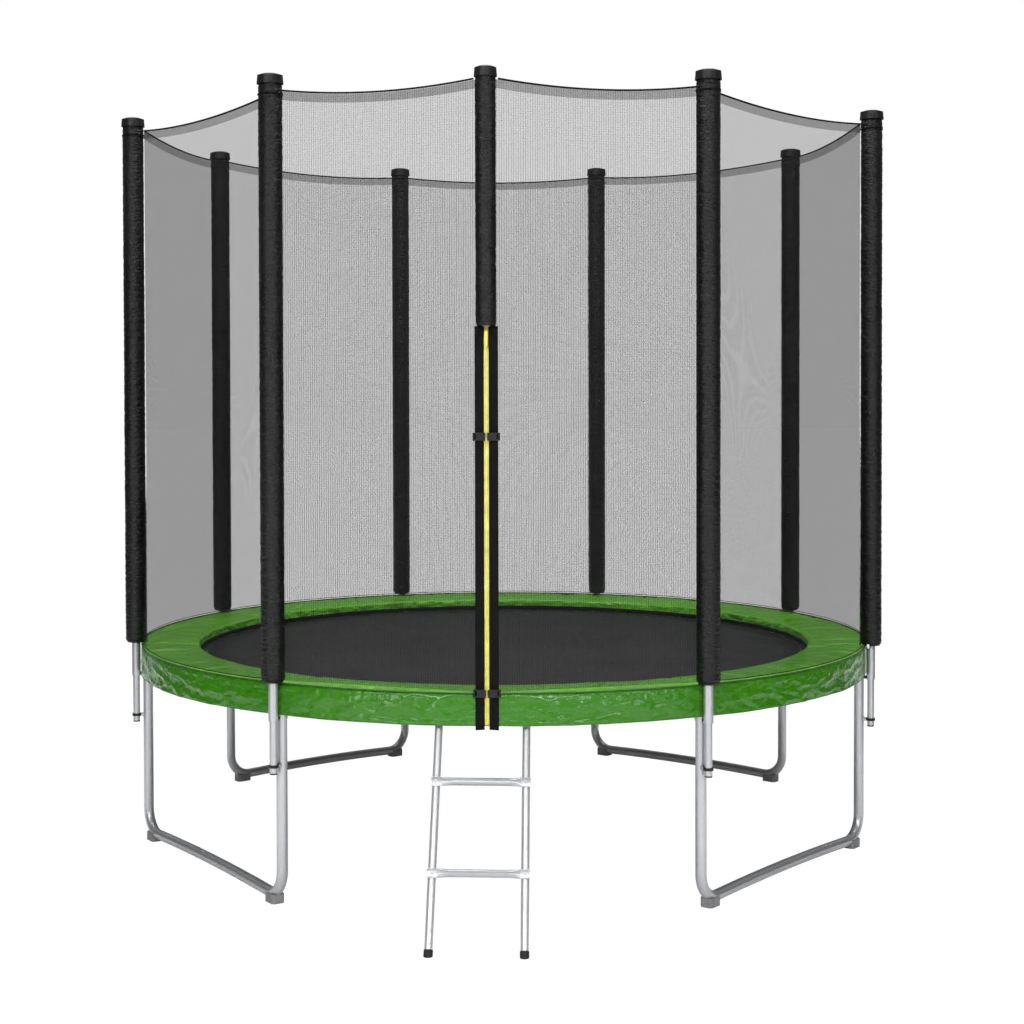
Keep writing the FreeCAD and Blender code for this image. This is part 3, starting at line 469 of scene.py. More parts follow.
class Cloth:
    """Collects grids of points, with their places on the cloth, into one mesh."""

    def __init__(self):
        self.points, self.faces, self.places = [], [], []

    def grid(self, rows, ring=False, loop=False, caps=False):
        """Rows of (point, place on the cloth); ring closes each row, loop joins the last to the first."""
        start = len(self.points)
        count = len(rows[0])
        for row in rows:
            self.points.extend(point for point, _ in row)
            self.places.extend(place for _, place in row)
        high = len(rows) if loop else len(rows) - 1
        wide = count if ring else count - 1
        for i in range(high):
            below = start + i * count
            above = start + (i + 1) % len(rows) * count
            for j in range(wide):
                k = (j + 1) % count
                self.faces.append((below + j, below + k, above + k, above + j))
        if caps:
            self.faces.append(tuple(start + j for j in reversed(range(count))))
            self.faces.append(tuple(start + (len(rows) - 1) * count + j for j in range(count)))

    def plain_grid(self, rows, **ends):
        """A grid from rows of points alone."""
        self.grid([[(point, (0.0, 0.0)) for point in row] for row in rows], **ends)

    def tube(self, path, radius, sides, closed=False):
        """A round tube along a path of points."""
        turns = [tau * k / sides for k in range(sides)]
        rim = [(radius * cos(turn), radius * sin(turn)) for turn in turns]
        rows, run, side = [], 0.0, None
        count = len(path)
        for i, point in enumerate(path):
            before = path[i - 1] if i or closed else point
            after = path[(i + 1) % count] if i < count - 1 or closed else point
            tangent = (after - before).normalized()
            if side is None:
                side = tangent.cross(up(1) if abs(tangent.z) < 0.9 else Vector((1, 0, 0)))
            side = (side - tangent * side.dot(tangent)).normalized()
            cross = side.cross(tangent)
            if i:
                run += (point - path[i - 1]).length
            rows.append([(point + side * x + cross * y, (run, k / sides)) for k, (x, y) in enumerate(rim)])
        self.grid(rows, ring=True, loop=closed, caps=not closed)

    def made(self, name, material, merge=1e-6, smooth=True, turn_out=True):
        """The finished piece, its faces turned outwards if it has an outside."""
        piece = piece_from(name, self.points, self.faces, material, self.places, smooth)
        return tidied(piece, merge) if turn_out else piece


def grid_piece(name, material, rows, merge=1e-6, turn_out=True, **ends):
    """A piece of one grid."""
    cloth = Cloth()
    cloth.grid(rows, **ends)
    return cloth.made(name, material, merge, turn_out=turn_out)


def tube_piece(name, material, path, radius, sides, closed=False, merge=1e-6):
    """A piece of one tube."""
    cloth = Cloth()
    cloth.tube(path, radius, sides, closed)
    return cloth.made(name, material, merge)


def dressed(piece, body, *nodes, slot=None):
    """Gives a finished piece its body and the nodes that it stands for; slot, for its finish, is not used."""
    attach(piece, body)
    if nodes:
        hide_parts(*nodes)
    return piece


def thicken(piece):
    """Gives a sheet the thickness of its cloth, inwards."""
    thick = piece.modifiers.new("cloth", "SOLIDIFY")
    thick.thickness = CLOTH_THICK
    thick.offset = -1


def copies_tree():
    """Puts a copy of one item, at a size, on every point, turned as the point says."""
    tree = bpy.data.node_groups.new("copies_at_places", "GeometryNodeTree")
    for name, kind in (("Places", "Geometry"), ("Item", "Object"), ("Size", "Float"), ("Finish", "Material")):
        tree.interface.new_socket(name, in_out="INPUT", socket_type="NodeSocket" + kind)
    tree.interface.items_tree["Size"].default_value = 1.0
    tree.interface.new_socket("Geometry", in_out="OUTPUT", socket_type="NodeSocketGeometry")
    build = Nodes(tree)
    given = build.node("NodeGroupInput")
    item = build.node("GeometryNodeObjectInfo", Object=given["Item"])
    turn = build.node("GeometryNodeInputNamedAttribute", data_type="FLOAT_VECTOR", Name="turn")
    spun = build.node("FunctionNodeEulerToRotation", Euler=turn["Attribute"])
    repeated = build.node("GeometryNodeInstanceOnPoints", Points=given["Places"], Instance=item["Geometry"],
                          Rotation=spun["Rotation"], Scale=given["Size"])
    real = build.node("GeometryNodeRealizeInstances", Geometry=repeated["Instances"])
    finished = build.node("GeometryNodeSetMaterial", Geometry=real["Geometry"], Material=given["Finish"])
    build.node("NodeGroupOutput", Geometry=finished["Geometry"])
    return tree


COPIES = copies_tree()


def copies(name, item, places, material, size=1.0):
    """A plain mesh of one item repeated at (point, turn) places."""
    points = bpy.data.meshes.new(name + "_places")
    points.from_pydata([tuple(p) for p, _ in places], [], [])
    turns = points.attributes.new("turn", "FLOAT_VECTOR", "POINT")
    for value, (_, turn) in zip(turns.data, places):
        value.vector = turn
    holder = placed(name + "_places", points)
    modifier = holder.modifiers.new("Copies", "NODES")
    modifier.node_group = COPIES
    given = {"Item": item, "Size": size, "Finish": material}
    for socket in COPIES.interface.items_tree:
        if socket.in_out == "INPUT" and socket.name in given:
            modifier[socket.identifier] = given[socket.name]
    shown = holder.evaluated_get(bpy.context.evaluated_depsgraph_get())
    mesh = bpy.data.meshes.new_from_object(shown)
    mesh.name = name
    holder.modifiers.remove(modifier)
    bpy.data.objects.remove(holder)
    return placed(name, mesh)


def put_away(piece):
    """Removes an item that was only there to be copied."""
    bpy.data.objects.remove(piece)


# Steel frame, poles, ladder and small hard parts keep their solids

HARD_PARTS = (
    (frame_steel, ["top_rail_%d" % number for number in range(1, 9)]),
    (frame_steel, ["rail_joints", "leg_front_right", "leg_back_right", "leg_back_left", "leg_front_left"]),
    (frame_steel, ["upper_poles", "lower_poles"]),
    (black_plastic, ["pole_clamps", "pole_spacers", "pole_end_plugs"]),
    (black_plastic, ["clip_halves_left", "clip_halves_right"]),
    (ladder_steel, ["ladder_rail_left", "ladder_rail_right", "ladder_hooks"]),
    (rung_steel_painted_shade, ["ladder_rungs"]),
    (grey_plastic, ["foot_blocks"]),
    (cap_plastic, ["pole_caps"]),
    (black_rubber, ["ladder_boots"]),
    (slider_metal, ["zip_slider", "zip_pull"]),
    (wire_zinc, ["mat_rings"]),
    (stay_fibre, ["stay_rod"]),
)

for material, nodes in HARD_PARTS:
    for node in nodes:
        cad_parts[node].data.materials.clear()
        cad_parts[node].data.materials.append(material)


# Bolts and screws


def bolt_head(name, radius, height, sides=6):
    """A hexagon or round head with a bevelled top and a washer, along +Z."""
    washer = [(radius * 1.7, 0), (radius * 1.7, height * 0.25), (radius * 1.2, height * 0.3)]
    head = [(radius, height * 0.25), (radius, height * 0.85), (radius * 0.8, height)]
    bolt = Cloth()
    for outline, count in ((washer, 12), (head, sides)):
        bolt.plain_grid([circle(r, count, z) for r, z in outline], ring=True, caps=True)
    return bolt.made(name, bolt_zinc, smooth=False)


def ladder_point(distance, side, front):
    """A point by its distance up the ladder from the floor line."""
    foot_spacing, top_spacing = LADDER_SPACINGS
    x = side * (foot_spacing + (top_spacing - foot_spacing) * distance / LADDER_LENGTH) / 2
    y = -LADDER_FOOT + distance * sin(LADDER_LEAN) - front * cos(LADDER_LEAN)
    z = distance * cos(LADDER_LEAN) + front * sin(LADDER_LEAN)
    a = radians(LADDER_TURN)
    return Vector((x * cos(a) - y * sin(a), MIDDLE_Y + x * sin(a) + y * cos(a), z))


def make_bolts():
    """Domed nuts on the clamps, screws beside the T joints' stubs and in the ladder."""
    facing = radians(90)
    nut = bolt_head("nut", 0.0036, 0.005, 10)
    places = []
    for angle in POLE_ANGLES:
        side = 1 if angle > 180 else -1
        turn = (facing, 0, radians(angle + 90 * side))
        places.append((polar(angle, POLE_R - 0.02, 0.411) + along(angle) * 0.0079 * side, turn))
        places.append((polar(angle, RING_R, 0.5545) + along(angle) * 0.0178 * side, turn))
    dressed(copies("frame_screws", nut, places, bolt_zinc), "frame")
    put_away(nut)
    screw = bolt_head("screw", 0.0038, 0.0035)
    leaning = (facing - LADDER_LEAN, 0, radians(LADDER_TURN))
    points = [ladder_point(height / cos(LADDER_LEAN), side, 0.0142) for height in RUNGS for side in (-1, 1)]
    points += [ladder_point(LADDER_LENGTH - drop, side, 0.0131)
               for side in (-1, 1) for drop in (0.012, 0.026)]
    places = [(point, leaning) for point in points]
    dressed(copies("ladder_screws", screw, places, bolt_zinc), "ladder")
    put_away(screw)


make_bolts()


# Foam sleeves on the poles


def sleeve_radius(turn, z, seed):
    """The cover's radius: ruched into level creases and drawn in at both ends."""
    x, y = cos(turn), sin(turn)
    foot = bump_of(z - SLEEVE_BOTTOM, 0.007)
    head = bump_of(z - SLEEVE_TOP, 0.008)
    wide = SLEEVE_R - 0.0003 - 0.0052 * foot - 0.0028 * head
    wide += 0.0005 * ripple(x + seed, y, z * 6)
    slant = 0.01 * ripple(seed, z * 3, 0) * x
    wide -= 0.0012 * crease(x * 1.1 + seed, y * 1.1, (z + slant) * 70, 2.6)
    wide -= 0.0008 * crease(x * 2.6, y * 2.6 + seed, (z + slant) * 130, 2.6)
    return wide - 0.0012 * (foot + head) * abs(sin(turn * 9 + seed))


def make_sleeves():
    """A foam sleeve on every pole, open for the pole from end to end."""
    count = 40
    for number, angle in enumerate(POLE_ANGLES, 1):
        foot = polar(angle, POLE_R)
        rows = []
        for z in spread(SLEEVE_BOTTOM, SLEEVE_TOP, 400):
            row = []
            for j in range(count):
                turn = tau * j / count
                wide = sleeve_radius(turn, z, number * 3.1)
                point = Vector((wide * cos(turn), wide * sin(turn), z))
                row.append((foot + point, (turn * SLEEVE_R, z)))
            rows.append(row)
        for z in (SLEEVE_TOP, SLEEVE_BOTTOM):
            rows.append([(foot + point, (0.0, 0.0)) for point in circle(SLEEVE_BORE, count, z)])
        piece = grid_piece("pole_sleeve_%d" % number, cover_black, rows, ring=True, loop=True)
        dressed(piece, "frame", "pole_sleeves", slot="foam_sleeve")


def make_ties():
    """Elastic ties at both ends of each sleeve, and the cord and toggle of the second one."""
    ties = Cloth()
    for angle in POLE_ANGLES:
        middle = polar(angle, POLE_R)
        for radius, z, tilt in ((0.0352, 2.331, 0.001), (0.0352, 2.3275, -0.001), (0.0318, 0.6605, 0.0)):
            ties.tube([middle + point for point in circle(radius, 28, z, tilt)], 0.0014, 6, closed=True)
    knot = polar(POLE_ANGLES[1], POLE_R) + Vector((-0.014, -0.03, 0.66))
    for lean in (-0.5, 0.9):
        steps = [(lean * 0.003 * k, -0.0008 * k, -0.0034 * k + 0.0002 * k * k) for k in range(7)]
        ties.tube([knot + Vector(step) for step in steps], 0.001, 6)
    dressed(ties.made("sleeve_ties", rope_black), "frame")
    toggle = Cloth()
    middle = knot + Vector((0, -0.002, 0))
    rings = [(0.0, 0.0022), (0.0012, 0.0038), (0.0045, 0.0046), (0.0095, 0.0044), (0.0125, 0.0034),
             (0.0135, 0.0018)]
    toggle.plain_grid([[middle + point for point in circle(wide, 14, -drop)] for drop, wide in rings],
                      ring=True, caps=True)
    dressed(toggle.made("cord_toggle", white_plastic), "frame")


make_sleeves()
make_ties()


# Spring pad and its skirt

SEAMS = sorted(POLE_ANGLES + [0.0])


def seam_distance(angle, radius):
    """Distance along the pad to the nearest cross seam."""
    gaps = [abs((angle - seam + 180) % 360 - 180) for seam in SEAMS]
    return radians(min(gaps)) * radius


def pad_creases():
    """Radial creases between the seams, as (angle, width, inner end, depth, slant)."""
    marks = []
    for first, last in zip(SEAMS, SEAMS[1:] + [360.0]):
        count = int((last - first) / 2.6)
        for _ in range(count):
            at = random.uniform(first + 0.8, last - 0.8)
            near = min(at - first, last - at) / (last - first) * 2
            marks.append((at, random.uniform(0.18, 0.42), random.uniform(0.15, 0.85),
                          random.uniform(0.0026, 0.0088) * (1.15 - 0.6 * near), random.uniform(-0.9, 0.9)))
    return marks


def crease_depths(steps, marks):
    """For every step round the pad, the creases that touch it."""
    found = [[] for _ in range(steps)]
    for mark in marks:
        middle = int(mark[0] / 360 * steps)
        reach = int(2.2 / 360 * steps) + 1
        for i in range(middle - reach, middle + reach + 1):
            found[i % steps].append(mark)
    return found


def pad_section():
    """The pad's section: points (radius, z, weight of the top's folds, share across)."""
    section = [(1.0395, 0.6034, 0, 0), (1.0365, 0.6029, 0, 0), (1.0342, 0.6036, 0, 0),
               (1.0331, 0.613, 0, 0), (1.0331, 0.6185, 0, 0), (1.0332, 0.63, 0.1, 0),
               (1.0342, 0.6386, 0.4, 0), (1.0364, 0.6414, 0.7, 0.02)]
    for share in spread(0, 1, 18)[1:-1]:
        r = PAD_CROWN[0] + (PAD_CROWN[1] - PAD_CROWN[0]) * share
        section.append((r, 0.6422 + 0.0063 * share + 0.0034 * sin(pi * share), 1.0, share))
    section += [(1.2205, 0.648, 0.8, 1), (1.2222, 0.6462, 0.5, 1), (1.2228, 0.6425, 0.2, 1),
                (1.2228, 0.6385, 0, 1), (1.2218, 0.6352, 0, 1), (1.218, 0.6343, 0, 1),
                (1.188, 0.6343, 0, 0.8), (1.15, 0.6266, 0, 0.6), (1.1105, 0.6187, 0, 0.4),
                (1.075, 0.6122, 0, 0.2)]
    return section


def pad_lift(angle, share, near, marks):
    """How far the pad's top stands over its section: drawn down at seams and creases, else uneven."""
    x, y = sin(radians(angle)), cos(radians(angle))
    lift = -(0.0034 * bump_of(near, 0.0055) + 0.0022 * bump_of(near, 0.03))
    for at, width, inner, depth, slant in marks:
        apart = (angle - at + 180) % 360 - 180 - slant * (share - 0.7)
        fade = max(0.0, min(1.0, (share - inner) / 0.25 + 0.3))
        lift -= depth * fade * exp(-abs(apart) / width)
    lift += 0.0024 * ripple(x * 9, y * 9, share * 2.2)
    lift += 0.0007 * ripple(x * 38, y * 38, share * 2.5)
    return min(lift, 0.0022)


def make_pad():
    """Foam wedge over the springs, drawn in at its seams and creased between them."""
    steps = 2600
    section = pad_section()
    rows = []
    for angle, marks in zip(round_angles(steps), crease_depths(steps, pad_creases())):
        near = seam_distance(angle, PAD_MIDDLE)
        row = []
        for r, z, top, share in section:
            lift = pad_lift(angle, share, near, marks) * top if top else 0.0
            pull = 0.0018 * bump_of(near, 0.02) * (1 if share > 0.5 else -1) * (0 if 0 < top < 1 else 0.4)
            row.append((polar(angle, r - pull, z + lift), (radians(angle) * PAD_MIDDLE, r)))
        rows.append(row)
    piece = grid_piece("spring_pad_cover", pad_green_painted_lit, rows, 1e-7, ring=True, loop=True)
    # Faces low on the inner side and under the pad get the near-black painted shade, standing in for the
    # shadow in the gap above the mat.
    piece.data.materials.append(pad_painted_shade)
    for face in piece.data.polygons:
        if face.center.z < PAINTED_SHADE_TOP or face.normal.z < -0.5:
            face.material_index = 1
    dressed(piece, "frame", "spring_pad", slot="green_vinyl")


def skirt_radius(angle, fall):
    """The hanging cover's radius, fall going from 0 at the top seam to 1 at the hem."""
    turn = radians(angle)
    x, y = sin(turn), cos(turn)
    near = seam_distance(angle, PAD_OUTER)
    hang = min(1.0, fall * 5)
    free = hang * min(1.0, max(0.0, (near - 0.035) / 0.12))
    folds = 0.5 + 0.5 * ripple(x * 10, y * 10, fall * 1.4)
    ridge = crease(x * 21 + fall * 1.6, y * 21, fall * 2.2, 2.0)
    small = crease(x * 44 - fall * 2.0, y * 44, fall * 3.4, 2.2)
    gathers = 0.0016 * crease(x * 60, y * 60, fall * 1.5, 2.2) * bump_of(fall - 0.12, 0.22)
    slanted = fall * 2.6 + 1.5 * ripple(x * 3, y * 3, 7)
    long = crease(x * 9, y * 9, slanted, 2.4)
    out = free * (0.0044 * folds * (0.4 + 0.6 * fall) + 0.0022 * ridge + 0.0042 * long + 0.0006 * small)
    shoulder = 0.0032 * max(0.0, 1 - fall / 0.14) ** 2
    middle = PAD_OUTER - 0.0002
    return middle + out - shoulder - hang * (gathers + 0.0006 * small) - 0.001 * bump_of(near, 0.004)


def make_skirt():
    """The hanging cover of the pad's edge, with its hem and the piping along its seam."""
    rows = []
    for angle in round_angles(1900):
        turn = radians(angle)
        row = []
        for fall in spread(0.0, 1.0, 18):
            z = SKIRT_TOP - (SKIRT_TOP - SKIRT_BOTTOM - 0.001) * fall
            z += 0.001 * ripple(sin(turn) * 7, cos(turn) * 7, 5) * fall
            row.append((polar(angle, skirt_radius(angle, fall), z), (turn * PAD_OUTER, z)))
        rows.append(row)
    piece = grid_piece("pad_skirt_cover", skirt_green, rows, 1e-7, loop=True)
    thicken(piece)
    dressed(piece, "frame", "pad_skirt", slot="green_vinyl")
    angles = round_angles(720)
    hem = [polar(a, skirt_radius(a, 1.0) - 0.0006, SKIRT_BOTTOM + 0.0022) for a in angles]
    hem_piece = dressed(tube_piece("skirt_hem", skirt_green, hem, 0.0016, 6, closed=True), "frame")
    # The piping is painted dark green, as painted shade along the seam.
    piping = [polar(a, 1.2236, 0.6488) for a in angles]
    dressed(tube_piece("pad_piping", seam_green_painted_shade, piping, 0.0021, 7, closed=True), "frame")


make_pad()
make_skirt()


# Jumping mat, its webbing edge and the springs


def spring_angles():
    """The springs' angles, evenly spaced on each rail."""
    starts = [POLE_ANGLES[-1] - 360.0] + POLE_ANGLES[:-1]
    found = []
    for first, last, count in zip(starts, POLE_ANGLES, SPRINGS_PER_RAIL):
        found += [first + (last - first) * (i + 0.5) / count for i in range(count)]
    return found


def make_mat():
    """The jumping mat, stretched and almost flat."""
    rings = 14
    rows = []
    for j in range(rings + 1):
        r = MAT_CLOTH_R * j / rings + 0.0001
        z = MAT_Z + 0.0005 - 0.0004 * (1 - (r / MAT_CLOTH_R) ** 2)
        points = [polar(angle, r, z) for angle in round_angles(160)]
        rows.append([(point, (point.x, point.y)) for point in points])
    piece = grid_piece("jumping_mat_cloth", mat_cloth, rows, 0.0004, ring=True)
    thicken(piece)
    dressed(piece, "mat", "jumping_mat", slot="mat_weave")


def make_mat_edge():
    """Folded webbing round the mat, with a loop at both sides of every ring and two rows of stitches."""
    section = [(1.0155, 0.5982), (1.0155, 0.6018), (1.02, 0.602), (1.036, 0.602), (1.0396, 0.6014),
               (1.04, 0.60), (1.0396, 0.5986), (1.036, 0.598), (1.02, 0.598)]
    rows = []
    for angle in round_angles(360):
        run = radians(angle) * MAT_R
        rows.append([(polar(angle, r, z), (run, k * 0.004)) for k, (r, z) in enumerate(section)])
    piece = grid_piece("mat_edge_webbing", mat_web, rows, ring=True, loop=True)
    dressed(piece, "mat", "mat_edge_band", slot="black_webbing")

    outside = [(1.022, 0.6024), (1.036, 0.6024), (1.0425, 0.603), (1.045, 0.6014), (1.0453, 0.60),
               (1.045, 0.5986), (1.0425, 0.597), (1.036, 0.5976), (1.022, 0.5976)]
    inside = [(r - 0.0006, z + (0.0008 if z < MAT_Z else -0.0008)) for r, z in outside]
    loops = Cloth()
    for angle in spring_angles():
        for side in (-1, 1):
            middle = angle + degrees(0.0088 / MAT_R) * side
            across = [middle - 0.30, middle, middle + 0.30]
            lines = [(a, outside) for a in across] + [(a, inside) for a in reversed(across)]
            loops.grid([[(polar(a, r, z), (k * 0.004, n * 0.006)) for k, (r, z) in enumerate(line)]
                        for n, (a, line) in enumerate(lines)], loop=True)
    dressed(loops.made("mat_ring_loops", band_web), "mat")

    stitch = [Vector((x, 0, z)) for x, z in ((-0.0022, 0), (-0.0012, 0.0004), (0.0012, 0.0004), (0.0022, 0))]
    item = tube_piece("stitch", rope_black, stitch, 0.00045, 4)
    places = [(polar(angle, r, 0.6021), up(radians(angle)))
              for r in (1.019, 1.0335) for angle in round_angles(900)]
    dressed(copies("mat_stitches", item, places, thread_grey), "mat")
    put_away(item)


def spring_line():
    """One spring's wire at the entrance: a hook, the coil and the other hook."""
    outer = RING_R - TUBE_R

    def height(r):
        return RING_Z - (RING_Z - MAT_Z) * (outer - r) / (outer - SPRING_INNER_R)

    inner_hook = [(1.0556, 0.5958), (1.0552, 0.599), (1.056, 0.6018), (1.059, 0.6034), (1.064, 0.603),
                  (1.072, 0.6022), (1.079, height(1.079))]
    outer_hook = [(1.176, height(1.176)), (1.184, 0.6147), (1.19, 0.6148), (1.1925, 0.6136),
                  (1.1932, 0.611), (1.1932, 0.607)]
    coil = []
    turns, round_steps = 19, 8
    for i in range(turns * round_steps + 1):
        share = i / (turns * round_steps)
        r = COIL_ENDS[0] + (COIL_ENDS[1] - COIL_ENDS[0]) * share
        wide = 0.0054 * min(1.0, 0.45 + share * 9, 0.45 + (1 - share) * 9)
        turn = tau * i / round_steps
        coil.append(Vector((wide * sin(turn), -r, height(r) + wide * cos(turn))))
    return [Vector((0, -r, z)) for r, z in inner_hook] + coil + [Vector((0, -r, z)) for r, z in outer_hook]


def make_springs():
    """The springs in groups of three, each group stretching between the frame and the mat."""
    item = tube_piece("spring", wire_zinc, spring_line(), 0.00115, 5, merge=1e-7)
    angles = spring_angles()
    for group in range(0, len(angles), 3):
        three = angles[group:group + 3]
        places = [(Vector((0, MIDDLE_Y, 0)), up(radians(a))) for a in three]
        piece = copies("springs_%02d" % (group // 3 + 1), item, places, wire_zinc)
        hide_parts("springs")
        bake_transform(piece)
    put_away(item)


make_mat()
make_mat_edge()
make_springs()


# Safety net

NET_LAYERS = {1: side_net, 7: side_net, 2: back_side_net, 6: back_side_net}


def sag(share):
    """How far the top edge hangs below its ends."""
    return NET_SAG * 4 * share * (1 - share)


def billow(share, rise, seed):
    """Small unevenness of the hanging net, none at its edges."""
    hold = sin(pi * share) * min(1.0, 4 * rise, 4 * (1 - rise) + 0.3)
    return 0.005 * hold * ripple(share * 3 + seed, rise * 4, seed)


def net_surface(first, last, share, rise):
    """A point of a side panel: straight between the poles on top, round like the pad below."""
    top = polar(first, NET_CORNER).lerp(polar(last, NET_CORNER), share)
    middle = Vector((0, MIDDLE_Y, 0))
    angle = first + (last - first) * share
    hold = min(1.0, min(share, 1 - share) * 14)
    foot = polar(angle, NET_CORNER + 0.015 * hold)
    flat = foot.lerp(top, rise ** 0.9)
    out = (flat - middle).normalized()
    point = flat + out * billow(share, rise, first)
    high = NET_TOP - sag(share)
    point.z = NET_BOTTOM + (high - NET_BOTTOM) * rise
    return point


def make_hem(name, points):
    """The folded strip along a panel's top edge, just beside the net."""
    rows, run = [], 0.0
    for i, point in enumerate(points):
        if i:
            run += (point - points[i - 1]).length
        near = points[min(i + 1, len(points) - 1)] - points[max(i - 1, 0)]
        side = near.cross(up(1)).normalized()
        rows.append([(point - up(fall) + side * HEM_OFFSET, (run, fall))
                     for fall in (0.0, HEM_WIDTH / 2, HEM_WIDTH)])
    return dressed(grid_piece(name, hem_net, rows, 1e-7, turn_out=False), "frame")


def make_side_nets(rope):
    """The seven panels from pole to pole, with the cords along their edges."""
    across, high = 24, 30
    for number in range(1, 8):
        first, last = POLE_ANGLES[number - 1:number + 1]
        chord = (polar(first, NET_CORNER) - polar(last, NET_CORNER)).length
        lines = [[net_surface(first, last, share, rise) for share in spread(0.0, 1.0, across)]
                 for rise in spread(0.0, 1.0, high)]
        rows = [[(point, (i / across * chord, point.z)) for i, point in enumerate(line)] for line in lines]
        layer = NET_LAYERS.get(number, back_net)
        piece = grid_piece("net_%d" % number, layer, rows, 1e-7, turn_out=False)
        hem_piece = make_hem("net_hem_%d" % number, lines[-1])
        dressed(piece, "frame", "net_panel_%d" % number, slot="net_mesh")
        rope.tube([point + up(ROPE_RISE) for point in lines[-1]], ROPE_R, 7)
        rope.tube([point + up(FOOT_CORD_RISE) for point in lines[0]], FOOT_CORD_R, 6)


def front_line(side):
    """The front panel's inner end, direction, outward normal and length, for side -1 or 1."""
    end = polar(POLE_ANGLES[0] * side, NET_CORNER)
    start = Vector((NET_EDGE * side, MIDDLE_Y - NET_APEX, 0))
    way = (end - start).normalized()
    normal = Vector((way.y, -way.x, 0))
    if normal.y > 0:
        normal = -normal
    return start, way, normal, (end - start).length - 0.0007


def front_spot(side, s, z, out=0.0):
    """A (point, place on the cloth) of a front panel, by the distance along it and its height."""
    start, way, normal, _ = front_line(side)
    return start + way * s + normal * out + up(z), (s, z)


FOLD_HEAD = BAND_TOP
FOLD_FOOT = front_line(1)[3] - 0.10
FOLD_RISE = FOLD_HEAD - NET_BOTTOM


def fold_at(z):
    """Distance along the front panel of the flap's fold at a height."""
    return FOLD_FOOT * (FOLD_HEAD - z) / FOLD_RISE


def fold_height(s):
    """Height of the flap's fold at a distance along the front panel."""
    return FOLD_HEAD - FOLD_RISE * s / FOLD_FOOT


def make_front_nets(rope):
    """The front panels, their flaps, and the rope above them; the rope's piece is made last."""
    length = front_line(1)[3]
    stay_side = STAY_R + 0.0003 + 0.002 + 0.001 + 0.003 - NET_EDGE
    for side, name in SIDES:
        fixed = Cloth()
        fixed.grid([[front_spot(side, s, z) for s in spread(fold_at(z) + 0.0001, length, 16)]
                    for z in spread(NET_BOTTOM, FOLD_HEAD, 20)])
        above = [[front_spot(side, s, FOLD_HEAD + (NET_TOP - sag(s / length) - FOLD_HEAD) * j / 16)
                  for s in spread(0.0006, length, 16)] for j in range(17)]
        fixed.grid(above)
        piece = fixed.made("net_front_%s_mesh" % name, open_net, 1e-7, turn_out=False)
        hem_piece = make_hem("net_front_%s_hem" % name, [point for point, _ in above[-1]])
        dressed(piece, "frame", "net_front_%s" % name, slot="net_mesh")

        rows = [[front_spot(side, s, z) for s in spread(0.0, fold_at(z) - 0.0001, 12)]
                for z in spread(NET_BOTTOM, FOLD_HEAD - 0.004, 24)]
        piece = grid_piece("net_flap_%s_mesh" % name, open_net, rows, 1e-7, turn_out=False)
        dressed(piece, "door_" + name, "net_flap_" + name, slot="net_mesh")

        rope.tube([front_spot(side, s, NET_TOP - sag(s / length) + ROPE_RISE)[0]
                   for s in spread(stay_side, length - 0.0003, 24)], ROPE_R, 7)
    dressed(rope.made("net_top_rope", rope_black, 1e-7), "frame", "net_rope", slot="black_rope")


top_rope = Cloth()
make_side_nets(top_rope)
make_front_nets(top_rope)


# Entrance: padded stay, bands and zip


def make_stay():
    """Half-round foam stay on the net over the zip, its cover creased."""
    start, way, normal, _ = front_line(1)
    slope = way.y / way.x
    face = start + normal * 0.0013
    back_y = face.y - slope * face.x
    centre = polar(0, POLE_R)
    count = 34
    rows = []
    for z in spread(STAY_BOTTOM, STAY_TOP, 170):
        ends = bump_of(z - STAY_BOTTOM, 0.006) + bump_of(z - STAY_TOP, 0.006)
        row = []
        for i in range(count):
            turn = tau * i / count
            x, y = sin(turn), -cos(turn)
            wide = STAY_R - 0.0002 - 0.002 * ends
            wide -= 0.0011 * crease(x * 0.9, y * 0.9 + 4, z * 58, 2.6)
            wide += 0.0004 * ripple(x, y, z * 9)
            limit = back_y + slope * abs(wide * x) - 0.0004
            row.append((Vector((wide * x, min(centre.y + wide * y, limit), z)), (turn * STAY_R, z)))
        rows.append(row)
    piece = grid_piece("entrance_stay_pad", cover_black, rows, 1e-7, ring=True, caps=True)
    dressed(piece, "frame", "entrance_stay", slot="foam_sleeve")


def band_grid(cloth, side, inner, low, high, rows_count):
    """A woven band on the front panel; low and high give its end heights at a place across it."""
    section = []
    for share in (0.0, 0.04, 0.25, 0.5, 0.75, 0.96, 1.0):
        thick = 0.0009 if 0.02 < share < 0.98 else 0.0004
        section.append((inner + (BAND_OUTER - inner) * share, BAND_STANDOFF + thick))
    section += [(s, BAND_STANDOFF - (out - BAND_STANDOFF)) for s, out in reversed(section)]
    cloth.grid([[front_spot(side, s, low(s) + (high(s) - low(s)) * share, out) for s, out in section]
                for share in spread(0.0, 1.0, rows_count)], ring=True, caps=True)


def make_bands():
    """The webbing bands on the flaps, and their short heads between fold and stay."""
    heads = Cloth()
    for side, name in SIDES:
        band = Cloth()
        band_grid(band, side, BAND_INNER, lambda s: BAND_BOTTOM + 0.003 * (BAND_OUTER - s) / BAND_WIDTH,
                  lambda s: min(BAND_TOP, fold_height(max(s, 0))) - 0.001, 60)
        piece = band.made("band_%s_web" % name, band_web)
        dressed(piece, "door_" + name, "band_" + name, slot="black_webbing")
        band_grid(heads, side, 0.001, lambda s: fold_height(s) + 0.001, lambda s: STAY_BOTTOM - 0.0003, 3)
    dressed(heads.made("band_head_webs", band_web), "frame", "band_heads", slot="black_webbing")


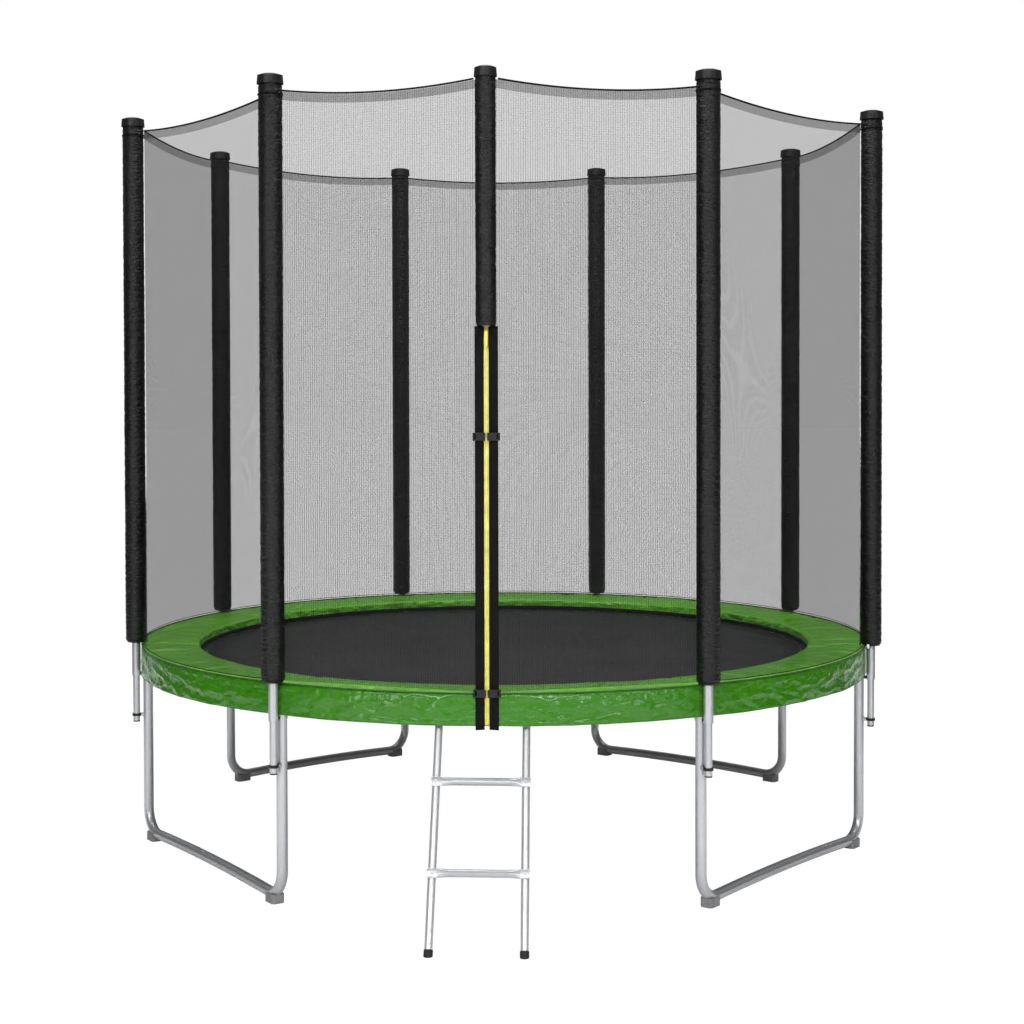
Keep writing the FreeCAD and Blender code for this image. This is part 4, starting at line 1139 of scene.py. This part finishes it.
def make_zip():
    """The zip's two halves: a tape, and teeth that stand between the other half's."""
    middle_y = front_spot(1, BAND_INNER, 0, BAND_STANDOFF)[0].y
    outline = ((-0.0019, -0.0008), (0.0002, -0.00115), (0.0002, 0.00115), (-0.0019, 0.0008))
    section = ((0.0009, -0.0007), (0.004, -0.0006), (0.0062, -0.0004), (0.0062, 0.0004), (0.004, 0.0006),
               (0.0009, 0.0007))
    tooth = Cloth()
    tooth.plain_grid([[Vector((x, y, z)) for x, y in outline] for z in (-0.001, 0.001)], ring=True, caps=True)
    item = tooth.made("tooth", zip_plastic, smooth=False)
    for side, name in SIDES:
        top = ZIP_TOPS[side]
        rows = [[(Vector((x * side, middle_y + y, z)), (x, z)) for x, y in section]
                for z in spread(ZIP_FOOT, top, 80)]
        piece = grid_piece("zip_tape_" + name, zip_tape, rows, ring=True, caps=True)
        dressed(piece, "door_" + name, "zip_half_" + name, slot="zip_yellow")
        first = FIRST_TOOTH + (0 if side > 0 else TOOTH_PITCH / 2)
        turn = (0, 0, pi if side > 0 else 0)
        places = [(Vector((-0.0005 * side, middle_y, first + k * TOOTH_PITCH)), turn)
                  for k in range(int((top - FIRST_TOOTH) / TOOTH_PITCH))]
        dressed(copies("zip_teeth_" + name, item, places, zip_plastic), "door_" + name)
    put_away(item)


def make_zip_head():
    """A sewn patch behind the slider and the folds' heads, with the zip's tape on it up to the stay."""
    wing = [front_spot(1, s, 0, -0.0018)[0] for s in (0.024, 0.0012)]
    plan = wing + [Vector((-p.x, p.y, 0)) for p in reversed(wing)]
    plan += [p + Vector((0, 0.0005, 0)) for p in reversed(plan)]
    front = front_spot(1, 0, 0)[0].y + 0.0011
    outline = ((0.0061, 0), (0.0055, -0.0003), (-0.0055, -0.0003), (-0.0061, 0), (-0.0055, 0.0002),
               (0.0055, 0.0002))
    tape = [Vector((x, front + y, 0)) for x, y in outline]
    for name, section, material in (("zip_head_patch", plan, band_web), ("zip_head_tape", tape, zip_tape)):
        heights = spread(ZIP_HEAD, STAY_BOTTOM - 0.0002, 8)
        rows = [[(p + up(z), (p.x, z)) for p in section] for z in heights]
        dressed(grid_piece(name, material, rows, ring=True, caps=True), "frame")


make_stay()
make_bands()
make_zip()
make_zip_head()


# Room: pale floor, soft light and the camera


def floor_finish():
    """Pale floor that shows almost white to the camera and still takes the shadow."""
    floor = Finish("studio_floor", (0.9, 0.9, 0.9), 0.9, 0.0)
    glow = floor.node("Emission", Strength=1.05)["Emission"]
    floor.show(floor.calc("MULTIPLY", floor.seen(), 0.945), glow)
    return floor.material


def make_room():
    """The floor, and the even light that comes from all round."""
    reach = 60.0
    corners = [(-reach, -reach, 0), (reach, -reach, 0), (reach, reach, 0), (-reach, reach, 0)]
    piece_from("floor", corners, [(0, 1, 2, 3)], floor_finish())
    world = bpy.data.worlds.new("studio")
    bpy.context.scene.world = world
    world.use_nodes = True
    sky = Nodes(world.node_tree)
    sky.tree.nodes.clear()
    white = (1, 1, 1, 1)
    strength = sky.calc("MULTIPLY_ADD", sky.node("LightPath")["Is Glossy Ray"], -0.22, 0.42)
    light = sky.node("Background", Color=white, Strength=strength)["Background"]
    backdrop = sky.node("Background", Color=white)["Background"]
    sky.node("OutputWorld", Surface=sky.mixed(sky.seen(), light, backdrop))


def area_light(name, place, target, size, power):
    """A rectangular lamp at a place, turned to a target."""
    lamp = bpy.data.lights.new(name, "AREA")
    lamp.shape = "RECTANGLE"
    lamp.size, lamp.size_y = size
    lamp.energy = power
    holder = placed(name, lamp)
    holder.location = place
    holder.rotation_euler = (Vector(target) - Vector(place)).to_track_quat("-Z", "Y").to_euler()


def make_flag(name, x):
    """A dark board beside the object that gives the tubes their dark edges, but that no view sees."""
    board = Finish(name, (0.02, 0.02, 0.02), 0.9)
    rays = board.node("LightPath")
    board.show(rays["Is Camera Ray"], board.node("BsdfTransparent")["BSDF"])
    corners = [(x, -2.6, 0.01), (x, 1.6, 0.01), (x, 1.6, 1.7), (x, -2.6, 1.7)]
    piece_from(name, corners, [(0, 1, 2, 3)], board.material, smooth=False)


def make_camera():
    """The photograph's view: a little right of the entrance and just above the middle."""
    lens = bpy.data.cameras.new("camera")
    lens.lens = 63.23
    lens.sensor_width = 36.0
    lens.shift_x = 0.01448
    lens.shift_y = -0.0862
    lens.clip_end = 200
    camera = placed("camera", lens)
    camera.location = (0.2324, MIDDLE_Y - 6.1794, 1.4943)
    camera.rotation_euler = (pi / 2 - 0.02, 0.0025, 0.0409)
    bpy.context.scene.camera = camera


make_room()
area_light("top", (0, 0.2, 5.4), (0, 0.2, 0), (4.0, 4.0), 340)
area_light("key", (-3.2, -5.2, 3.8), (0, 0, 0.8), (1.4, 1.8), 45)
area_light("strip", (0, -5.2, 3.0), (0, 0, 0.6), (5.0, 0.36), 120)
area_light("low_left", (-2.6, -4.8, 0.8), (0, 0, 0.3), (0.7, 0.7), 12)
area_light("low_right", (2.6, -4.8, 0.8), (0, 0, 0.3), (0.7, 0.7), 12)
area_light("fill", (4.2, -4.4, 2.8), (0, 0, 0.8), (1.0, 2.0), 35)
make_flag("flag_left", -3.3)
make_flag("flag_right", 3.3)
make_camera()
bpy.context.scene.view_settings.view_transform = "Standard"
